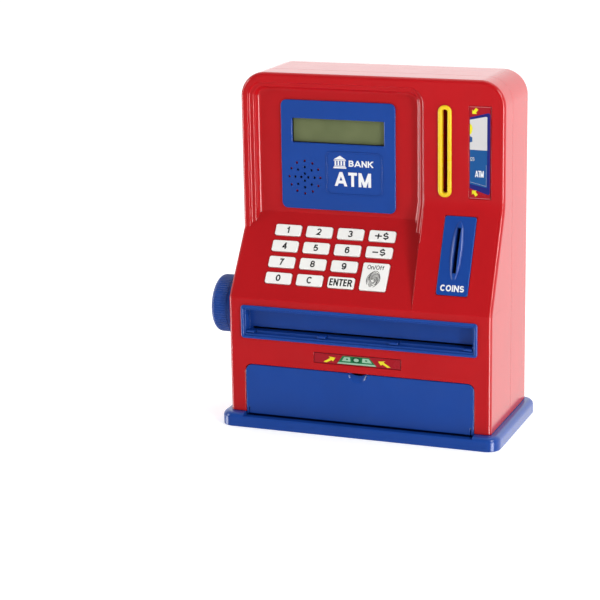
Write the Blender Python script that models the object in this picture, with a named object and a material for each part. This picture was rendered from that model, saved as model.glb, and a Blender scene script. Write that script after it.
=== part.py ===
"""Toy cash machine savings bank, as an assembly of separate solids.

Metres, +Z up. The front faces -Y and the knob is on -X. The origin is the middle of the base's
underside. Depths into the body are measured from the front face, with at(depth).
"""
import math

import bmesh
import bpy
from mathutils import Matrix, Vector

# Driving dimensions
BODY_WIDTH = 0.200
BODY_DEPTH = 0.0955
BODY_TOP = 0.259
BODY_CORNER = 0.0185
WALL = 0.0025
GAP = 0.0003
SEAM_DEPTH = 0.0525

BASE_LIP = 0.00675
BASE_HEIGHT = 0.0105
BASE_CORNER = 0.010
BASE_FLOOR = 0.003

RIDGE_HEIGHT = 0.0976
UPPER_SETBACK = 0.032
COLUMN_BEND_HEIGHT = 0.168
COLUMN_LEFT = 0.040
KEYPAD_ANGLE = math.radians(55)
SCREEN_DEPTH = 0.040
RECESS_LEFT = -0.0941
RECESS_TOP = 0.252
RECESS_CORNER = 0.0125
RECESS_STEP = 0.0025
RECESS_STEP_INSET = 0.0034
RECESS_FLOOR_INSET = 0.0072

DOOR_HALF_WIDTH = 0.0874
DOOR_LOW = 0.0093
DOOR_HIGH = 0.0470
DOOR_THICKNESS = 0.0025
DOOR_CORNER = 0.005
HINGE_DEPTH = 0.0052
HINGE_HEIGHT = 0.0144
HINGE_EYE = 0.0024
HINGE_PIN = 0.0011

BEZEL_HALF_WIDTH = 0.0901
BEZEL_LOW = 0.0672
BEZEL_HIGH = 0.0922
BEZEL_BORDER = 0.0022
BEZEL_DEPTH = 0.0080
SLIT_HEIGHT = 0.0734
SLIT_HALF_WIDTH = 0.0842

KEY_WIDTH = 0.0200
KEY_LENGTH = 0.0086
KEY_PITCH_X = 0.0243
KEY_PITCH_UP = 0.0127
KEY_FIRST_X = -0.0637
KEY_FIRST_UP = 0.0172
KEY_CLEARANCE = 0.0004
KEY_PROUD = 0.0012
KEY_BOTTOM = -0.0038
KEY_FLANGE = 0.0010

PANEL_LOW = (-0.0711, 0.1583)
PANEL_HIGH = (0.0170, 0.2388)
PANEL_THICKNESS = 0.0012
DISPLAY_LOW = (-0.0625, 0.2075)
DISPLAY_HIGH = (0.0085, 0.2255)
SPEAKER_X = -0.0530
SPEAKER_HEIGHT = 0.1819

CARD_X = 0.0562
CARD_LOW = 0.1780
CARD_HIGH = 0.2373
CARD_GAP = 0.0034
CARD_LABEL_X = 0.0819
LEVER_PIN = 0.0008

COIN_X = 0.0692
COIN_SLOT_WIDTH = 0.0026
COIN_PLATE_WIDTH = 0.0232
COIN_PLATE_UP = (0.0132, 0.0706)
COIN_SLOT_UP = (0.0292, 0.0620)

SHAFT_DEPTH = 0.026
SHAFT_HEIGHT = 0.0855
SHAFT_RADIUS = 0.003
KNOB_RADIUS = 0.0215
KNOB_THICKNESS = 0.0158
FEED_ROLLER_RADIUS = 0.0112
PINCH_RADIUS = 0.0045
PINCH_PIN = 0.0012
PINCH_HEIGHT = SHAFT_HEIGHT - FEED_ROLLER_RADIUS - PINCH_RADIUS - 2 * GAP
ROLLER_X = 0.050
ROLLER_LENGTH = 0.016

BATTERY_LOW = (-0.031, 0.176)
BATTERY_HIGH = (0.031, 0.224)
BATTERY_DEPTH = 0.0175
COVER_MARGIN = 0.0032
COVER_HEAD = 0.0105
COVER_SCREW_HEIGHT = BATTERY_HIGH[1] + 0.0058

BOSS_X = 0.0950
BOSS_RADIUS = 0.0035
BOSS_STARTS = {0.057: 0.0012, 0.232: 0.0342}
WELL_RADIUS = 0.0042
WELL_BORE = 0.0033
SCREW_RADIUS = 0.0014
SCREW_HOLE = 0.00175
BASE_SCREW_X = 0.0943
BASE_SCREW_DEPTHS = (0.012, 0.084)

FRONT_Y = -BODY_DEPTH / 2
HALF_WIDTH = BODY_WIDTH / 2
COLUMN_RISE = COLUMN_BEND_HEIGHT - RIDGE_HEIGHT
COLUMN_ANGLE = math.atan2(COLUMN_RISE, UPPER_SETBACK)


def at(depth):
    """World Y of a plane this far behind the front face."""
    return FRONT_Y + depth


# Scene and object helpers
def clear_scene():
    for obj in list(bpy.data.objects):
        bpy.data.objects.remove(obj, do_unlink=True)


def new_collection(name):
    collection = bpy.data.collections.new(name)
    bpy.context.scene.collection.children.link(collection)
    return collection


def plastic(name, colour, roughness=0.3, metallic=0.0):
    material = bpy.data.materials.new(name)
    material.use_nodes = True
    shader = material.node_tree.nodes["Principled BSDF"]
    shader.inputs["Base Color"].default_value = (*colour, 1.0)
    shader.inputs["Roughness"].default_value = roughness
    shader.inputs["Metallic"].default_value = metallic
    material.diffuse_color = (*colour, 1.0)
    return material


clear_scene()
PARTS = new_collection("toy_atm_bank")
CUTTERS = new_collection("cutters")
CUTTERS.hide_render = True

RED = plastic("red_plastic", (0.50, 0.012, 0.016), 0.22)
BLUE = plastic("blue_plastic", (0.02, 0.08, 0.36), 0.28)
YELLOW = plastic("yellow_plastic", (0.90, 0.62, 0.02), 0.3)
WHITE = plastic("white_key_rubber", (0.85, 0.86, 0.83), 0.45)
OLIVE = plastic("display_glass", (0.16, 0.19, 0.09), 0.15)
BLACK = plastic("black_plastic", (0.02, 0.02, 0.022), 0.4)
GREEN = plastic("circuit_board", (0.02, 0.16, 0.06), 0.4)
RUBBER = plastic("dark_rubber", (0.03, 0.03, 0.03), 0.8)
STEEL = plastic("plated_steel", (0.62, 0.62, 0.60), 0.25, 1.0)
PAPER = plastic("printed_label", (0.45, 0.05, 0.06), 0.5)


def place(mesh_work, name, material, origin=(0, 0, 0), parent=None, collection=PARTS):
    """Makes an object from bmesh work. Its origin is a world point, or a point in its parent's frame."""
    origin = Vector(origin)
    bmesh.ops.translate(mesh_work, verts=mesh_work.verts, vec=-origin)
    bmesh.ops.recalc_face_normals(mesh_work, faces=mesh_work.faces)
    mesh = bpy.data.meshes.new(name)
    mesh_work.to_mesh(mesh)
    mesh_work.free()
    if material:
        mesh.materials.append(material)
    mesh.shade_smooth()
    mesh.set_sharp_from_angle(angle=math.radians(35))
    obj = bpy.data.objects.new(name, mesh)
    obj.location = origin
    obj.parent = parent
    collection.objects.link(obj)
    return obj


def as_cutter(mesh_work, name, parent=None):
    obj = place(mesh_work, name, None, parent=parent, collection=CUTTERS)
    obj.hide_render = True
    obj.display_type = "WIRE"
    return obj


def boolean(target, operation, tool):
    modifier = target.modifiers.new(f"{operation.lower()} {tool.name}", "BOOLEAN")
    modifier.operation = operation
    modifier.solver = "EXACT"
    modifier.object = tool


def cut(target, *tools):
    for tool in tools:
        boolean(target, "DIFFERENCE", tool)


def join(target, *tools):
    for tool in tools:
        boolean(target, "UNION", tool)


def empty(name, location, tilt=0.0):
    obj = bpy.data.objects.new(name, None)
    obj.location = location
    obj.rotation_euler = (tilt, 0, 0)
    obj.empty_display_size = 0.01
    PARTS.objects.link(obj)
    return obj


# Shape helpers: each adds to a bmesh, or to a new one, and returns it
def box(low, high, mesh_work=None):
    mesh_work = mesh_work or bmesh.new()
    low, high = Vector(low), Vector(high)
    size = Matrix.Diagonal((*(high - low), 1.0))
    bmesh.ops.create_cube(mesh_work, size=1.0, matrix=Matrix.Translation((low + high) / 2) @ size)
    return mesh_work


def round_box(low, high, radius, axis, steps=3, only=None):
    """A box whose edges along one axis are rounded, all four or those that only() picks."""
    mesh_work = box(low, high)
    along = "xyz".index(axis)
    edges = []
    for edge in mesh_work.edges:
        direction = edge.verts[1].co - edge.verts[0].co
        middle = (edge.verts[0].co + edge.verts[1].co) / 2
        if abs(direction[along]) > 0.9 * direction.length and (only is None or only(middle)):
            edges.append(edge)
    bmesh.ops.bevel(mesh_work, geom=edges, offset=radius, segments=steps, profile=0.5, affect="EDGES")
    return mesh_work


def rod(start, end, radius, sides=16, mesh_work=None, end_radius=None):
    """A cylinder or cone between two points."""
    mesh_work = mesh_work or bmesh.new()
    start, end = Vector(start), Vector(end)
    turn = (end - start).to_track_quat("Z", "Y").to_matrix().to_4x4()
    bmesh.ops.create_cone(
        mesh_work,
        cap_ends=True,
        segments=sides,
        radius1=radius,
        radius2=radius if end_radius is None else end_radius,
        depth=(end - start).length,
        matrix=Matrix.Translation((start + end) / 2) @ turn,
    )
    return mesh_work


def prism(outline, low_x, high_x):
    """A (y, z) outline extruded along X. An end is one x, or a function of y and z."""
    mesh_work = bmesh.new()
    ends = []
    for end in (low_x, high_x):
        ends.append([
            mesh_work.verts.new((end(y, z) if callable(end) else end, y, z)) for y, z in outline
        ])
    mesh_work.faces.new(ends[0])
    mesh_work.faces.new(reversed(ends[1]))
    for i in range(len(outline)):
        j = (i + 1) % len(outline)
        mesh_work.faces.new((ends[0][i], ends[1][i], ends[1][j], ends[0][j]))
    return mesh_work


def rounded_outline(low, high, radius, steps=4):
    """Points of a rounded rectangle in X and Z, from two corners."""
    points = []
    centres = (
        (high[0] - radius, high[1] - radius),
        (low[0] + radius, high[1] - radius),
        (low[0] + radius, low[1] + radius),
        (high[0] - radius, low[1] + radius),
    )
    for corner, (x, z) in enumerate(centres):
        for step in range(steps + 1):
            angle = math.radians(90 * corner + 90 * step / steps)
            points.append((x + radius * math.cos(angle), z + radius * math.sin(angle)))
    return points


def bridge_rings(mesh_work, rings):
    """Skins a stack of rings of equal point counts, and closes both ends."""
    for ring, following in zip(rings, rings[1:]):
        for i in range(len(ring)):
            j = (i + 1) % len(ring)
            mesh_work.faces.new((ring[i], ring[j], following[j], following[i]))
    mesh_work.faces.new(rings[0])
    mesh_work.faces.new(reversed(rings[-1]))


def loft(sections):
    """Joins (y, outline) sections of equal point counts into one closed solid."""
    mesh_work = bmesh.new()
    rings = [[mesh_work.verts.new((x, y, z)) for x, z in outline] for y, outline in sections]
    bridge_rings(mesh_work, rings)
    return mesh_work


# Frames of the two sloping faces: X across, Y up the slope, Z outward
KEYPAD = empty("keypad_frame", (0, FRONT_Y, RIDGE_HEIGHT), KEYPAD_ANGLE)
COLUMN = empty("column_frame", (0, FRONT_Y, RIDGE_HEIGHT), COLUMN_ANGLE)


# Housings
def slope_depth(height, angle, inset):
    """How far behind the front face a slope lies at this height, moved inwards by inset."""
    return (height - RIDGE_HEIGHT) / math.tan(angle) + inset / math.sin(angle)


def side_outline(angle, setback, inset, bottom, top, back):
    """The body's side view in (y, z), with its front moved inwards by inset."""
    lower = at(inset)
    upper = at(setback + inset)
    fold_low = RIDGE_HEIGHT + (inset - inset / math.sin(angle)) * math.tan(angle)
    fold_high = RIDGE_HEIGHT + (setback + inset - inset / math.sin(angle)) * math.tan(angle)
    front = [(lower, bottom), (lower, fold_low), (upper, fold_high), (upper, top)]
    return front + [(back, top), (back, bottom)]


def front_block(inset, bottom, back):
    """The front housing's outer form, or its hollow when inset: a side view rounded at the top corners."""
    half = HALF_WIDTH - inset
    top = BODY_TOP - inset
    outline = side_outline(COLUMN_ANGLE, UPPER_SETBACK, inset, bottom, top + 0.01, back)
    wide = prism(outline, -half - 0.01, half + 0.01)
    block = place(wide, f"front_block_{inset:g}", None, collection=CUTTERS)
    sleeve = round_box(
        (-half, at(-0.01), bottom - 0.001), (half, back + 0.01, top), BODY_CORNER - inset, "y", 6,
        only=lambda middle: middle.z > 0.1,
    )
    boolean(block, "INTERSECT", as_cutter(sleeve, f"front_sleeve_{inset:g}"))
    block.hide_render = True
    block.display_type = "WIRE"
    return block


def column_wall(inset):
    """X of the wall between the keypad and the column: a plane that leans towards the column."""
    lean = 0.0014 / COLUMN_RISE
    undercut = 0.0062 / (SCREEN_DEPTH - UPPER_SETBACK)

    def wall(y, z):
        behind = y - at(slope_depth(z, COLUMN_ANGLE, 0))
        return COLUMN_LEFT + lean * (COLUMN_BEND_HEIGHT - z) - 0.45 * undercut * max(behind, 0) + inset

    return wall


def recess_pocket(inset):
    """The stepped pocket that holds the screen panel, before the keypad slope closes its lower end."""
    def section(depth, step, radius):
        low = (RECESS_LEFT + step - inset, 0.100)
        high = (COLUMN_LEFT - step + inset, RECESS_TOP - step + inset)
        return at(depth), rounded_outline(low, high, radius, 5)

    front = UPPER_SETBACK + inset
    return loft([
        section(front - 0.001 - inset, 0, RECESS_CORNER),
        section(front, 0, RECESS_CORNER),
        section(front + RECESS_STEP, RECESS_STEP_INSET, RECESS_CORNER - 0.003),
        section(SCREEN_DEPTH + inset, RECESS_FLOOR_INSET, RECESS_CORNER - 0.006),
    ])


def front_space(inset):
    """The space in front of the keypad slope and the screen, from the left side to the column's wall."""
    reach = at(-0.005)
    front = at(UPPER_SETBACK + inset)
    low = RIDGE_HEIGHT - 0.030
    high = COLUMN_BEND_HEIGHT + 0.004
    outline = [(reach, low), (front, low), (front, high), (reach, high)]
    space = as_cutter(prism(outline, -HALF_WIDTH - 0.001, column_wall(inset)), f"front_space_{inset:g}")
    join(space, as_cutter(recess_pocket(inset), f"recess_pocket_{inset:g}"))
    foot = RIDGE_HEIGHT - 0.060
    peak = RIDGE_HEIGHT + 0.120
    slope = [(at(slope_depth(z, KEYPAD_ANGLE, inset)), z) for z in (foot, peak)]
    slope.append((slope[1][0] + 0.01, foot))
    cut(space, as_cutter(prism(slope, -0.15, 0.15), f"keypad_slope_{inset:g}"))
    return space


def key_cells():
    """(name, column, row, rows) of every key: rows count up the slope from the ridge."""
    cells = [("key_0", 0, 0, 1), ("key_clear", 1, 0, 1), ("key_enter", 2, 0, 1), ("key_power", 3, 0, 2)]
    cells += [(f"key_{7 + i}", i, 1, 1) for i in range(3)]
    cells += [(f"key_{4 + i}", i, 2, 1) for i in range(3)] + [("key_subtract", 3, 2, 1)]
    cells += [(f"key_{1 + i}", i, 3, 1) for i in range(3)] + [("key_add", 3, 3, 1)]
    return cells


def key_centre(column, row, rows):
    """Centre of a key in the keypad frame, and its half length up the slope."""
    half = (KEY_LENGTH + KEY_PITCH_UP * (rows - 1)) / 2
    up = KEY_FIRST_UP + KEY_PITCH_UP * row + half - KEY_LENGTH / 2
    return KEY_FIRST_X + KEY_PITCH_X * column, up, half


def key_holes():
    mesh_work = bmesh.new()
    for _, column, row, rows in key_cells():
        x, up, half = key_centre(column, row, rows)
        wide = KEY_WIDTH / 2 + KEY_CLEARANCE
        long = half + KEY_CLEARANCE
        box((x - wide, up - long, -0.006), (x + wide, up + long, 0.003), mesh_work)
    return as_cutter(mesh_work, "key_holes", KEYPAD)


def base_screw_places():
    return [(side * BASE_SCREW_X, depth) for side in (-1, 1) for depth in BASE_SCREW_DEPTHS]


def base_bosses(name, depths):
    """Upright pillars that take the base screws, each merged with the side wall."""
    mesh_work = bmesh.new()
    for depth in depths:
        for side in (-1, 1):
            x = side * BASE_SCREW_X
            rod((x, at(depth), BASE_HEIGHT + 3 * GAP), (x, at(depth), 0.024), BOSS_RADIUS, 12, mesh_work)
    return as_cutter(mesh_work, name)


def base_boss_holes(name, depths):
    mesh_work = bmesh.new()
    for depth in depths:
        for side in (-1, 1):
            x = side * BASE_SCREW_X
            rod((x, at(depth), BASE_HEIGHT - 0.002), (x, at(depth), 0.022), SCREW_HOLE, 10, mesh_work)
    return as_cutter(mesh_work, name)


def make_front_housing():
    bottom = BASE_HEIGHT + GAP
    back = at(SEAM_DEPTH - GAP / 2)
    outer = front_block(0.0, bottom, back)
    hollow = front_block(WALL, bottom - 0.01, at(SEAM_DEPTH + 0.01))
    cut(hollow, front_space(WALL))
    housing = outer
    housing.name = "front_housing"
    housing.data.materials.append(RED)
    housing.hide_render = False
    housing.display_type = "TEXTURED"
    CUTTERS.objects.unlink(housing)
    PARTS.objects.link(housing)
    cut(housing, front_space(0.0), hollow)

    pillars = bmesh.new()
    holes = bmesh.new()
    for height, start in BOSS_STARTS.items():
        for side in (-1, 1):
            x = side * BOSS_X
            rod((x, at(start), height), (x, at(SEAM_DEPTH - GAP), height), BOSS_RADIUS, 12, pillars)
            rod((x, at(SEAM_DEPTH - 0.012), height), (x, at(SEAM_DEPTH + 0.01), height),
                SCREW_HOLE, 10, holes)
    join(housing, as_cutter(pillars, "front_pillars"))
    join(housing, base_bosses("front_base_bosses", BASE_SCREW_DEPTHS[:1]))
    cut(housing, as_cutter(holes, "front_pillar_holes"))
    cut(housing, base_boss_holes("front_base_holes", BASE_SCREW_DEPTHS[:1]))

    cut(housing, key_holes())
    doorway = round_box(
        (-DOOR_HALF_WIDTH - 0.0004, at(-0.01), -0.005),
        (DOOR_HALF_WIDTH + 0.0004, at(WALL + 0.004), DOOR_HIGH + 0.0004),
        DOOR_CORNER, "y", 3, only=lambda middle: middle.z > 0.02,
    )
    tray = box(
        (-BEZEL_HALF_WIDTH + BEZEL_BORDER - 0.0005, at(-0.01), BEZEL_LOW + BEZEL_BORDER - 0.0005),
        (BEZEL_HALF_WIDTH - BEZEL_BORDER + 0.0005, at(WALL + 0.004), BEZEL_HIGH - BEZEL_BORDER + 0.0005),
    )
    label = box((-0.0337, at(-0.001), 0.0528), (0.0333, at(0.0006), 0.0610))
    card = box(
        (CARD_LABEL_X - 0.0083, at(UPPER_SETBACK - 0.001), 0.1742),
        (CARD_LABEL_X + 0.0083, at(UPPER_SETBACK + 0.0006), 0.2410),
    )
    slot_low = (CARD_X - CARD_GAP / 2 - 0.0016, at(UPPER_SETBACK - 0.01), CARD_LOW - 0.0016)
    slot_high = (CARD_X + CARD_GAP / 2 + 0.0016, at(UPPER_SETBACK + 0.006), CARD_HIGH + 0.0016)
    display = box(
        (DISPLAY_LOW[0] - 0.0015, at(SCREEN_DEPTH - 0.001), DISPLAY_LOW[1] - 0.0015),
        (DISPLAY_HIGH[0] + 0.0015, at(SCREEN_DEPTH + 0.006), DISPLAY_HIGH[1] + 0.0015),
    )
    sound = rod(
        (SPEAKER_X, at(SCREEN_DEPTH - 0.001), SPEAKER_HEIGHT),
        (SPEAKER_X, at(SCREEN_DEPTH + 0.006), SPEAKER_HEIGHT),
        0.0128, 20,
    )
    shaft = rod(
        (-HALF_WIDTH - 0.005, at(SHAFT_DEPTH), SHAFT_HEIGHT),
        (-HALF_WIDTH + 0.006, at(SHAFT_DEPTH), SHAFT_HEIGHT),
        0.0052, 16,
    )
    named = {
        "doorway": doorway, "bezel_opening": tray, "bill_label_recess": label,
        "card_label_recess": card, "card_opening": box(slot_low, slot_high), "display_opening": display,
        "speaker_opening": sound, "shaft_opening": shaft,
    }
    for name, mesh_work in named.items():
        cut(housing, as_cutter(mesh_work, name))
    coin = box((COIN_X - 0.0096, 0.0170, -0.006), (COIN_X + 0.0096, 0.0670, 0.002))
    cut(housing, as_cutter(coin, "coin_opening", COLUMN))
    seat = box(
        (COIN_X - COIN_PLATE_WIDTH / 2 - 0.0003, COIN_PLATE_UP[0] - 0.0003, -0.0010),
        (COIN_X + COIN_PLATE_WIDTH / 2 + 0.0003, COIN_PLATE_UP[1] + 0.0003, 0.002),
    )
    cut(housing, as_cutter(seat, "coin_plate_seat", COLUMN))


def make_rear_housing():
    bottom = BASE_HEIGHT + GAP
    top_edges = dict(only=lambda middle: middle.z > 0.1)
    outer = round_box(
        (-HALF_WIDTH, at(SEAM_DEPTH + GAP / 2), bottom), (HALF_WIDTH, at(BODY_DEPTH), BODY_TOP),
        BODY_CORNER, "y", 6, **top_edges,
    )
    housing = place(outer, "rear_housing", RED)
    inner = round_box(
        (-HALF_WIDTH + WALL, at(SEAM_DEPTH - 0.01), bottom - 0.01),
        (HALF_WIDTH - WALL, at(BODY_DEPTH - WALL), BODY_TOP - WALL),
        BODY_CORNER - WALL, "y", 6, **top_edges,
    )
    cut(housing, as_cutter(inner, "rear_hollow"))

    wells = bmesh.new()
    bores = bmesh.new()
    holes = bmesh.new()
    for height in BOSS_STARTS:
        for side in (-1, 1):
            x = side * BOSS_X
            rod((x, at(SEAM_DEPTH + GAP), height), (x, at(BODY_DEPTH - 0.001), height),
                WELL_RADIUS, 14, wells)
            rod((x, at(SEAM_DEPTH + 0.003), height), (x, at(BODY_DEPTH + 0.01), height), WELL_BORE, 14, bores)
            rod((x, at(SEAM_DEPTH - 0.01), height), (x, at(SEAM_DEPTH + 0.005), height),
                SCREW_HOLE, 10, holes)
    join(housing, as_cutter(wells, "rear_wells"))
    join(housing, base_bosses("rear_base_bosses", BASE_SCREW_DEPTHS[1:]))
    cut(housing, as_cutter(bores, "rear_well_bores"), as_cutter(holes, "rear_well_holes"))
    cut(housing, base_boss_holes("rear_base_holes", BASE_SCREW_DEPTHS[1:]))

    (left, low), (right, high) = BATTERY_LOW, BATTERY_HIGH
    inside = BODY_DEPTH - BATTERY_DEPTH
    thick = 0.0016
    case = box(
        (left - thick, at(inside - thick), low - thick),
        (right + thick, at(BODY_DEPTH - 0.001), high + thick),
    )
    ledge = box(
        (left - 0.0060, at(BODY_DEPTH - 0.0050), low - 0.0060),
        (right + 0.0060, at(BODY_DEPTH - 0.001), high + COVER_HEAD + 0.0030),
    )
    join(housing, as_cutter(case, "battery_case"), as_cutter(ledge, "battery_ledge"))
    well = box((left, at(inside), low), (right, at(BODY_DEPTH + 0.01), high))
    margin = COVER_MARGIN + GAP
    seat = box(
        (left - margin, at(BODY_DEPTH - 0.0023), low - margin),
        (right + margin, at(BODY_DEPTH + 0.01), high + COVER_HEAD + GAP),
    )
    cut(housing, as_cutter(well, "battery_well"), as_cutter(seat, "battery_cover_seat"))

    def along_screw(start, end, radius, sides):
        low_end = (0, at(BODY_DEPTH + start), COVER_SCREW_HEIGHT)
        return rod(low_end, (0, at(BODY_DEPTH + end), COVER_SCREW_HEIGHT), radius, sides)

    join(housing, as_cutter(along_screw(-0.0120, -0.0040, 0.0030, 12), "battery_post"))
    cut(housing, as_cutter(along_screw(-0.0100, 0.0100, SCREW_HOLE, 10), "battery_post_hole"))


# Base and door
def make_base():
    half = HALF_WIDTH + BASE_LIP
    far_corner = (half, at(BODY_DEPTH + BASE_LIP), BASE_HEIGHT)
    outer = round_box((-half, at(-BASE_LIP), 0), far_corner, BASE_CORNER, "z", 6)
    top = [edge for edge in outer.edges if min(v.co.z for v in edge.verts) > BASE_HEIGHT - 1e-6]
    bmesh.ops.bevel(outer, geom=top, offset=0.0042, segments=3, profile=0.5, affect="EDGES")
    base = place(outer, "base", BLUE)
    notch = box((-0.0880, at(-BASE_LIP - 0.001), 0.0082), (0.0880, at(0.0075), 0.02))
    trough = box((-0.0880, at(-0.0006), 0.0066), (0.0880, at(0.0112), 0.02))
    floor = box((-0.0850, at(0.0075), BASE_FLOOR), (0.0850, at(BODY_DEPTH - 0.005), 0.02))
    for name, mesh_work in {"base_notch": notch, "base_trough": trough, "base_pocket": floor}.items():
        cut(base, as_cutter(mesh_work, name))

    posts = bmesh.new()
    reaches = bmesh.new()
    eyes = bmesh.new()
    holes = bmesh.new()
    for side in (-1, 1):
        low, high = sorted((side * 0.0800, side * 0.0825))
        axis_y = at(HINGE_DEPTH)
        box((low, at(0.0114), 0.0020), (high, at(0.0139), HINGE_HEIGHT + HINGE_EYE - 0.0001), posts)
        rod((low, axis_y, HINGE_HEIGHT), (high, axis_y, HINGE_HEIGHT), HINGE_EYE, 16, eyes)
        rod((low - 0.001, axis_y, HINGE_HEIGHT), (high + 0.001, axis_y, HINGE_HEIGHT),
            HINGE_PIN + GAP, 12, holes)
        box((low + 0.0001, axis_y + 0.0016, HINGE_HEIGHT - 0.0013),
            (high - 0.0001, at(0.0120), HINGE_HEIGHT + 0.0018), reaches)
    join(base, as_cutter(posts, "hinge_posts"), as_cutter(eyes, "hinge_eyes"))
    join(base, as_cutter(reaches, "hinge_reaches"))

    heads = bmesh.new()
    shanks = bmesh.new()
    for x, depth in base_screw_places():
        rod((x, at(depth), -0.01), (x, at(depth), 0.0040), 0.0036, 14, heads)
        rod((x, at(depth), 0.002), (x, at(depth), 0.02), SCREW_HOLE, 10, shanks)
    cut(base, as_cutter(heads, "base_screw_wells"), as_cutter(shanks, "base_screw_holes"))
    cut(base, as_cutter(holes, "hinge_holes"))


def scoop_section(depth):
    """The finger scoop's outline at a depth: a circle that grows and rises towards the back."""
    radius = 0.0072 + 1.72 * depth
    height = DOOR_HIGH + 0.0003 + 3.84 * depth
    turns = [math.tau * i / 32 for i in range(32)]
    return at(depth), [(radius * math.cos(turn), height + radius * math.sin(turn)) for turn in turns]


def make_door():
    axis = (0, at(HINGE_DEPTH), HINGE_HEIGHT)
    plate = round_box(
        (-DOOR_HALF_WIDTH, at(0), DOOR_LOW), (DOOR_HALF_WIDTH, at(DOOR_THICKNESS), DOOR_HIGH),
        DOOR_CORNER, "y", 4, only=lambda middle: middle.z > 0.02,
    )
    door = place(plate, "door", BLUE, axis)
    slits = bmesh.new()
    arms = bmesh.new()
    pins = bmesh.new()
    for side in (-1, 1):
        low, high = sorted((side * 0.0848, side * 0.0856))
        box((low, at(-0.005), DOOR_LOW - 0.001), (high, at(0.01), DOOR_LOW + 0.0055), slits)
        low, high = sorted((side * 0.0829, side * 0.0845))
        box((low, at(DOOR_THICKNESS - 0.0005), HINGE_HEIGHT - 0.0020),
            (high, at(HINGE_DEPTH + 0.0020), HINGE_HEIGHT + 0.0020), arms)
        rod((side * 0.0801, axis[1], HINGE_HEIGHT), (side * 0.0835, axis[1], HINGE_HEIGHT),
            HINGE_PIN, 12, pins)
    scoop = loft([scoop_section(depth) for depth in (-0.0004, 0.0030)])
    corner = [(at(-0.001), DOOR_LOW - 0.001), (at(0.0012), DOOR_LOW - 0.001), (at(-0.001), DOOR_LOW + 0.0012)]
    bevel = prism(corner, -0.1, 0.1)
    lip = box(
        (-0.030, at(DOOR_THICKNESS - 0.0005), DOOR_HIGH - 0.0058),
        (0.030, at(DOOR_THICKNESS + 0.0015), DOOR_HIGH - 0.0024),
    )
    join(door, as_cutter(arms, "door_arms"), as_cutter(pins, "door_pins"), as_cutter(lip, "door_rib"))
    cut(door, as_cutter(slits, "door_slits"), as_cutter(scoop, "door_scoop"), as_cutter(bevel, "door_bevel"))


# Bill slot and feed mechanism
def make_bill_slot_bezel():
    inner_x = BEZEL_HALF_WIDTH - BEZEL_BORDER
    inner_low = BEZEL_LOW + BEZEL_BORDER
    inner_high = BEZEL_HIGH - BEZEL_BORDER
    flange = round_box(
        (-BEZEL_HALF_WIDTH, at(-0.0014), BEZEL_LOW), (BEZEL_HALF_WIDTH, at(-GAP), BEZEL_HIGH), 0.0020, "y", 3
    )
    bezel = place(flange, "bill_slot_bezel", BLUE)
    tub = box(
        (-inner_x - 0.0001, at(-0.0010), inner_low - 0.0001),
        (inner_x + 0.0001, at(BEZEL_DEPTH + 0.0016), inner_high + 0.0001),
    )
    skin = 0.0014
    pocket = box(
        (-inner_x + skin, at(-0.01), inner_low + skin),
        (inner_x - skin, at(BEZEL_DEPTH), inner_high - skin),
    )
    join(bezel, as_cutter(tub, "bezel_tub"))
    cut(bezel, as_cutter(pocket, "bezel_pocket"))
    ledge = box(
        (-inner_x + 0.0010, at(0.0030), inner_low + 0.0010),
        (inner_x - 0.0010, at(BEZEL_DEPTH + 0.0005), SLIT_HEIGHT - 0.0008),
    )
    tabs = bmesh.new()
    for x in (-0.0830, -0.0275, 0.0275, 0.0830):
        box((x - 0.0026, at(0.0002), inner_low + 0.0010),
            (x + 0.0026, at(0.0035), SLIT_HEIGHT - 0.0004), tabs)
    join(bezel, as_cutter(ledge, "bezel_ledge"), as_cutter(tabs, "bezel_tabs"))
    slit = box(
        (-SLIT_HALF_WIDTH, at(0.0036), SLIT_HEIGHT - 0.0008),
        (SLIT_HALF_WIDTH, at(0.02), SLIT_HEIGHT + 0.0009),
    )
    cut(bezel, as_cutter(slit, "bill_slit"))


def make_feed_frame():
    """The lower bill guide, with side plates for the feed shaft and ears for the pinch shaft."""
    top = SLIT_HEIGHT - 0.0010
    plate = box((-0.0865, at(0.0102), top - 0.0015), (0.0865, at(0.0395), top))
    frame = place(plate, "feed_frame", BLACK)
    sides = bmesh.new()
    for side in (-1, 1):
        low, high = sorted((side * 0.0845, side * 0.0865))
        box((low, at(0.0105), 0.0605), (high, at(0.0392), SHAFT_HEIGHT + 0.0070), sides)
        low, high = sorted((side * 0.0680, side * 0.0700))
        box((low, at(SHAFT_DEPTH - 0.0045), PINCH_HEIGHT - 0.0040),
            (high, at(SHAFT_DEPTH + 0.0045), top - 0.0005), sides)
    join(frame, as_cutter(sides, "feed_sides"))
    windows = bmesh.new()
    for side in (-1, 1):
        x = side * ROLLER_X
        box((x - 0.0100, at(SHAFT_DEPTH - 0.0065), top - 0.004),
            (x + 0.0100, at(SHAFT_DEPTH + 0.0065), top + 0.004), windows)
    axis_y = at(SHAFT_DEPTH)
    holes = bmesh.new()
    rod((-0.1, axis_y, SHAFT_HEIGHT), (0.1, axis_y, SHAFT_HEIGHT), SHAFT_RADIUS + GAP, 18, holes)
    rod((-0.0750, axis_y, PINCH_HEIGHT), (0.0750, axis_y, PINCH_HEIGHT), PINCH_PIN + GAP, 14, holes)
    feet = bmesh.new()
    for side in (-1, 1):
        low, high = sorted((side * 0.0855, side * 0.0895))
        box((low, at(0.0200), 0.0610), (high, at(0.0320), 0.0630), feet)
    join(frame, as_cutter(feet, "feed_feet"))
    cut(frame, as_cutter(windows, "feed_windows"), as_cutter(holes, "feed_holes"))


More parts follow.
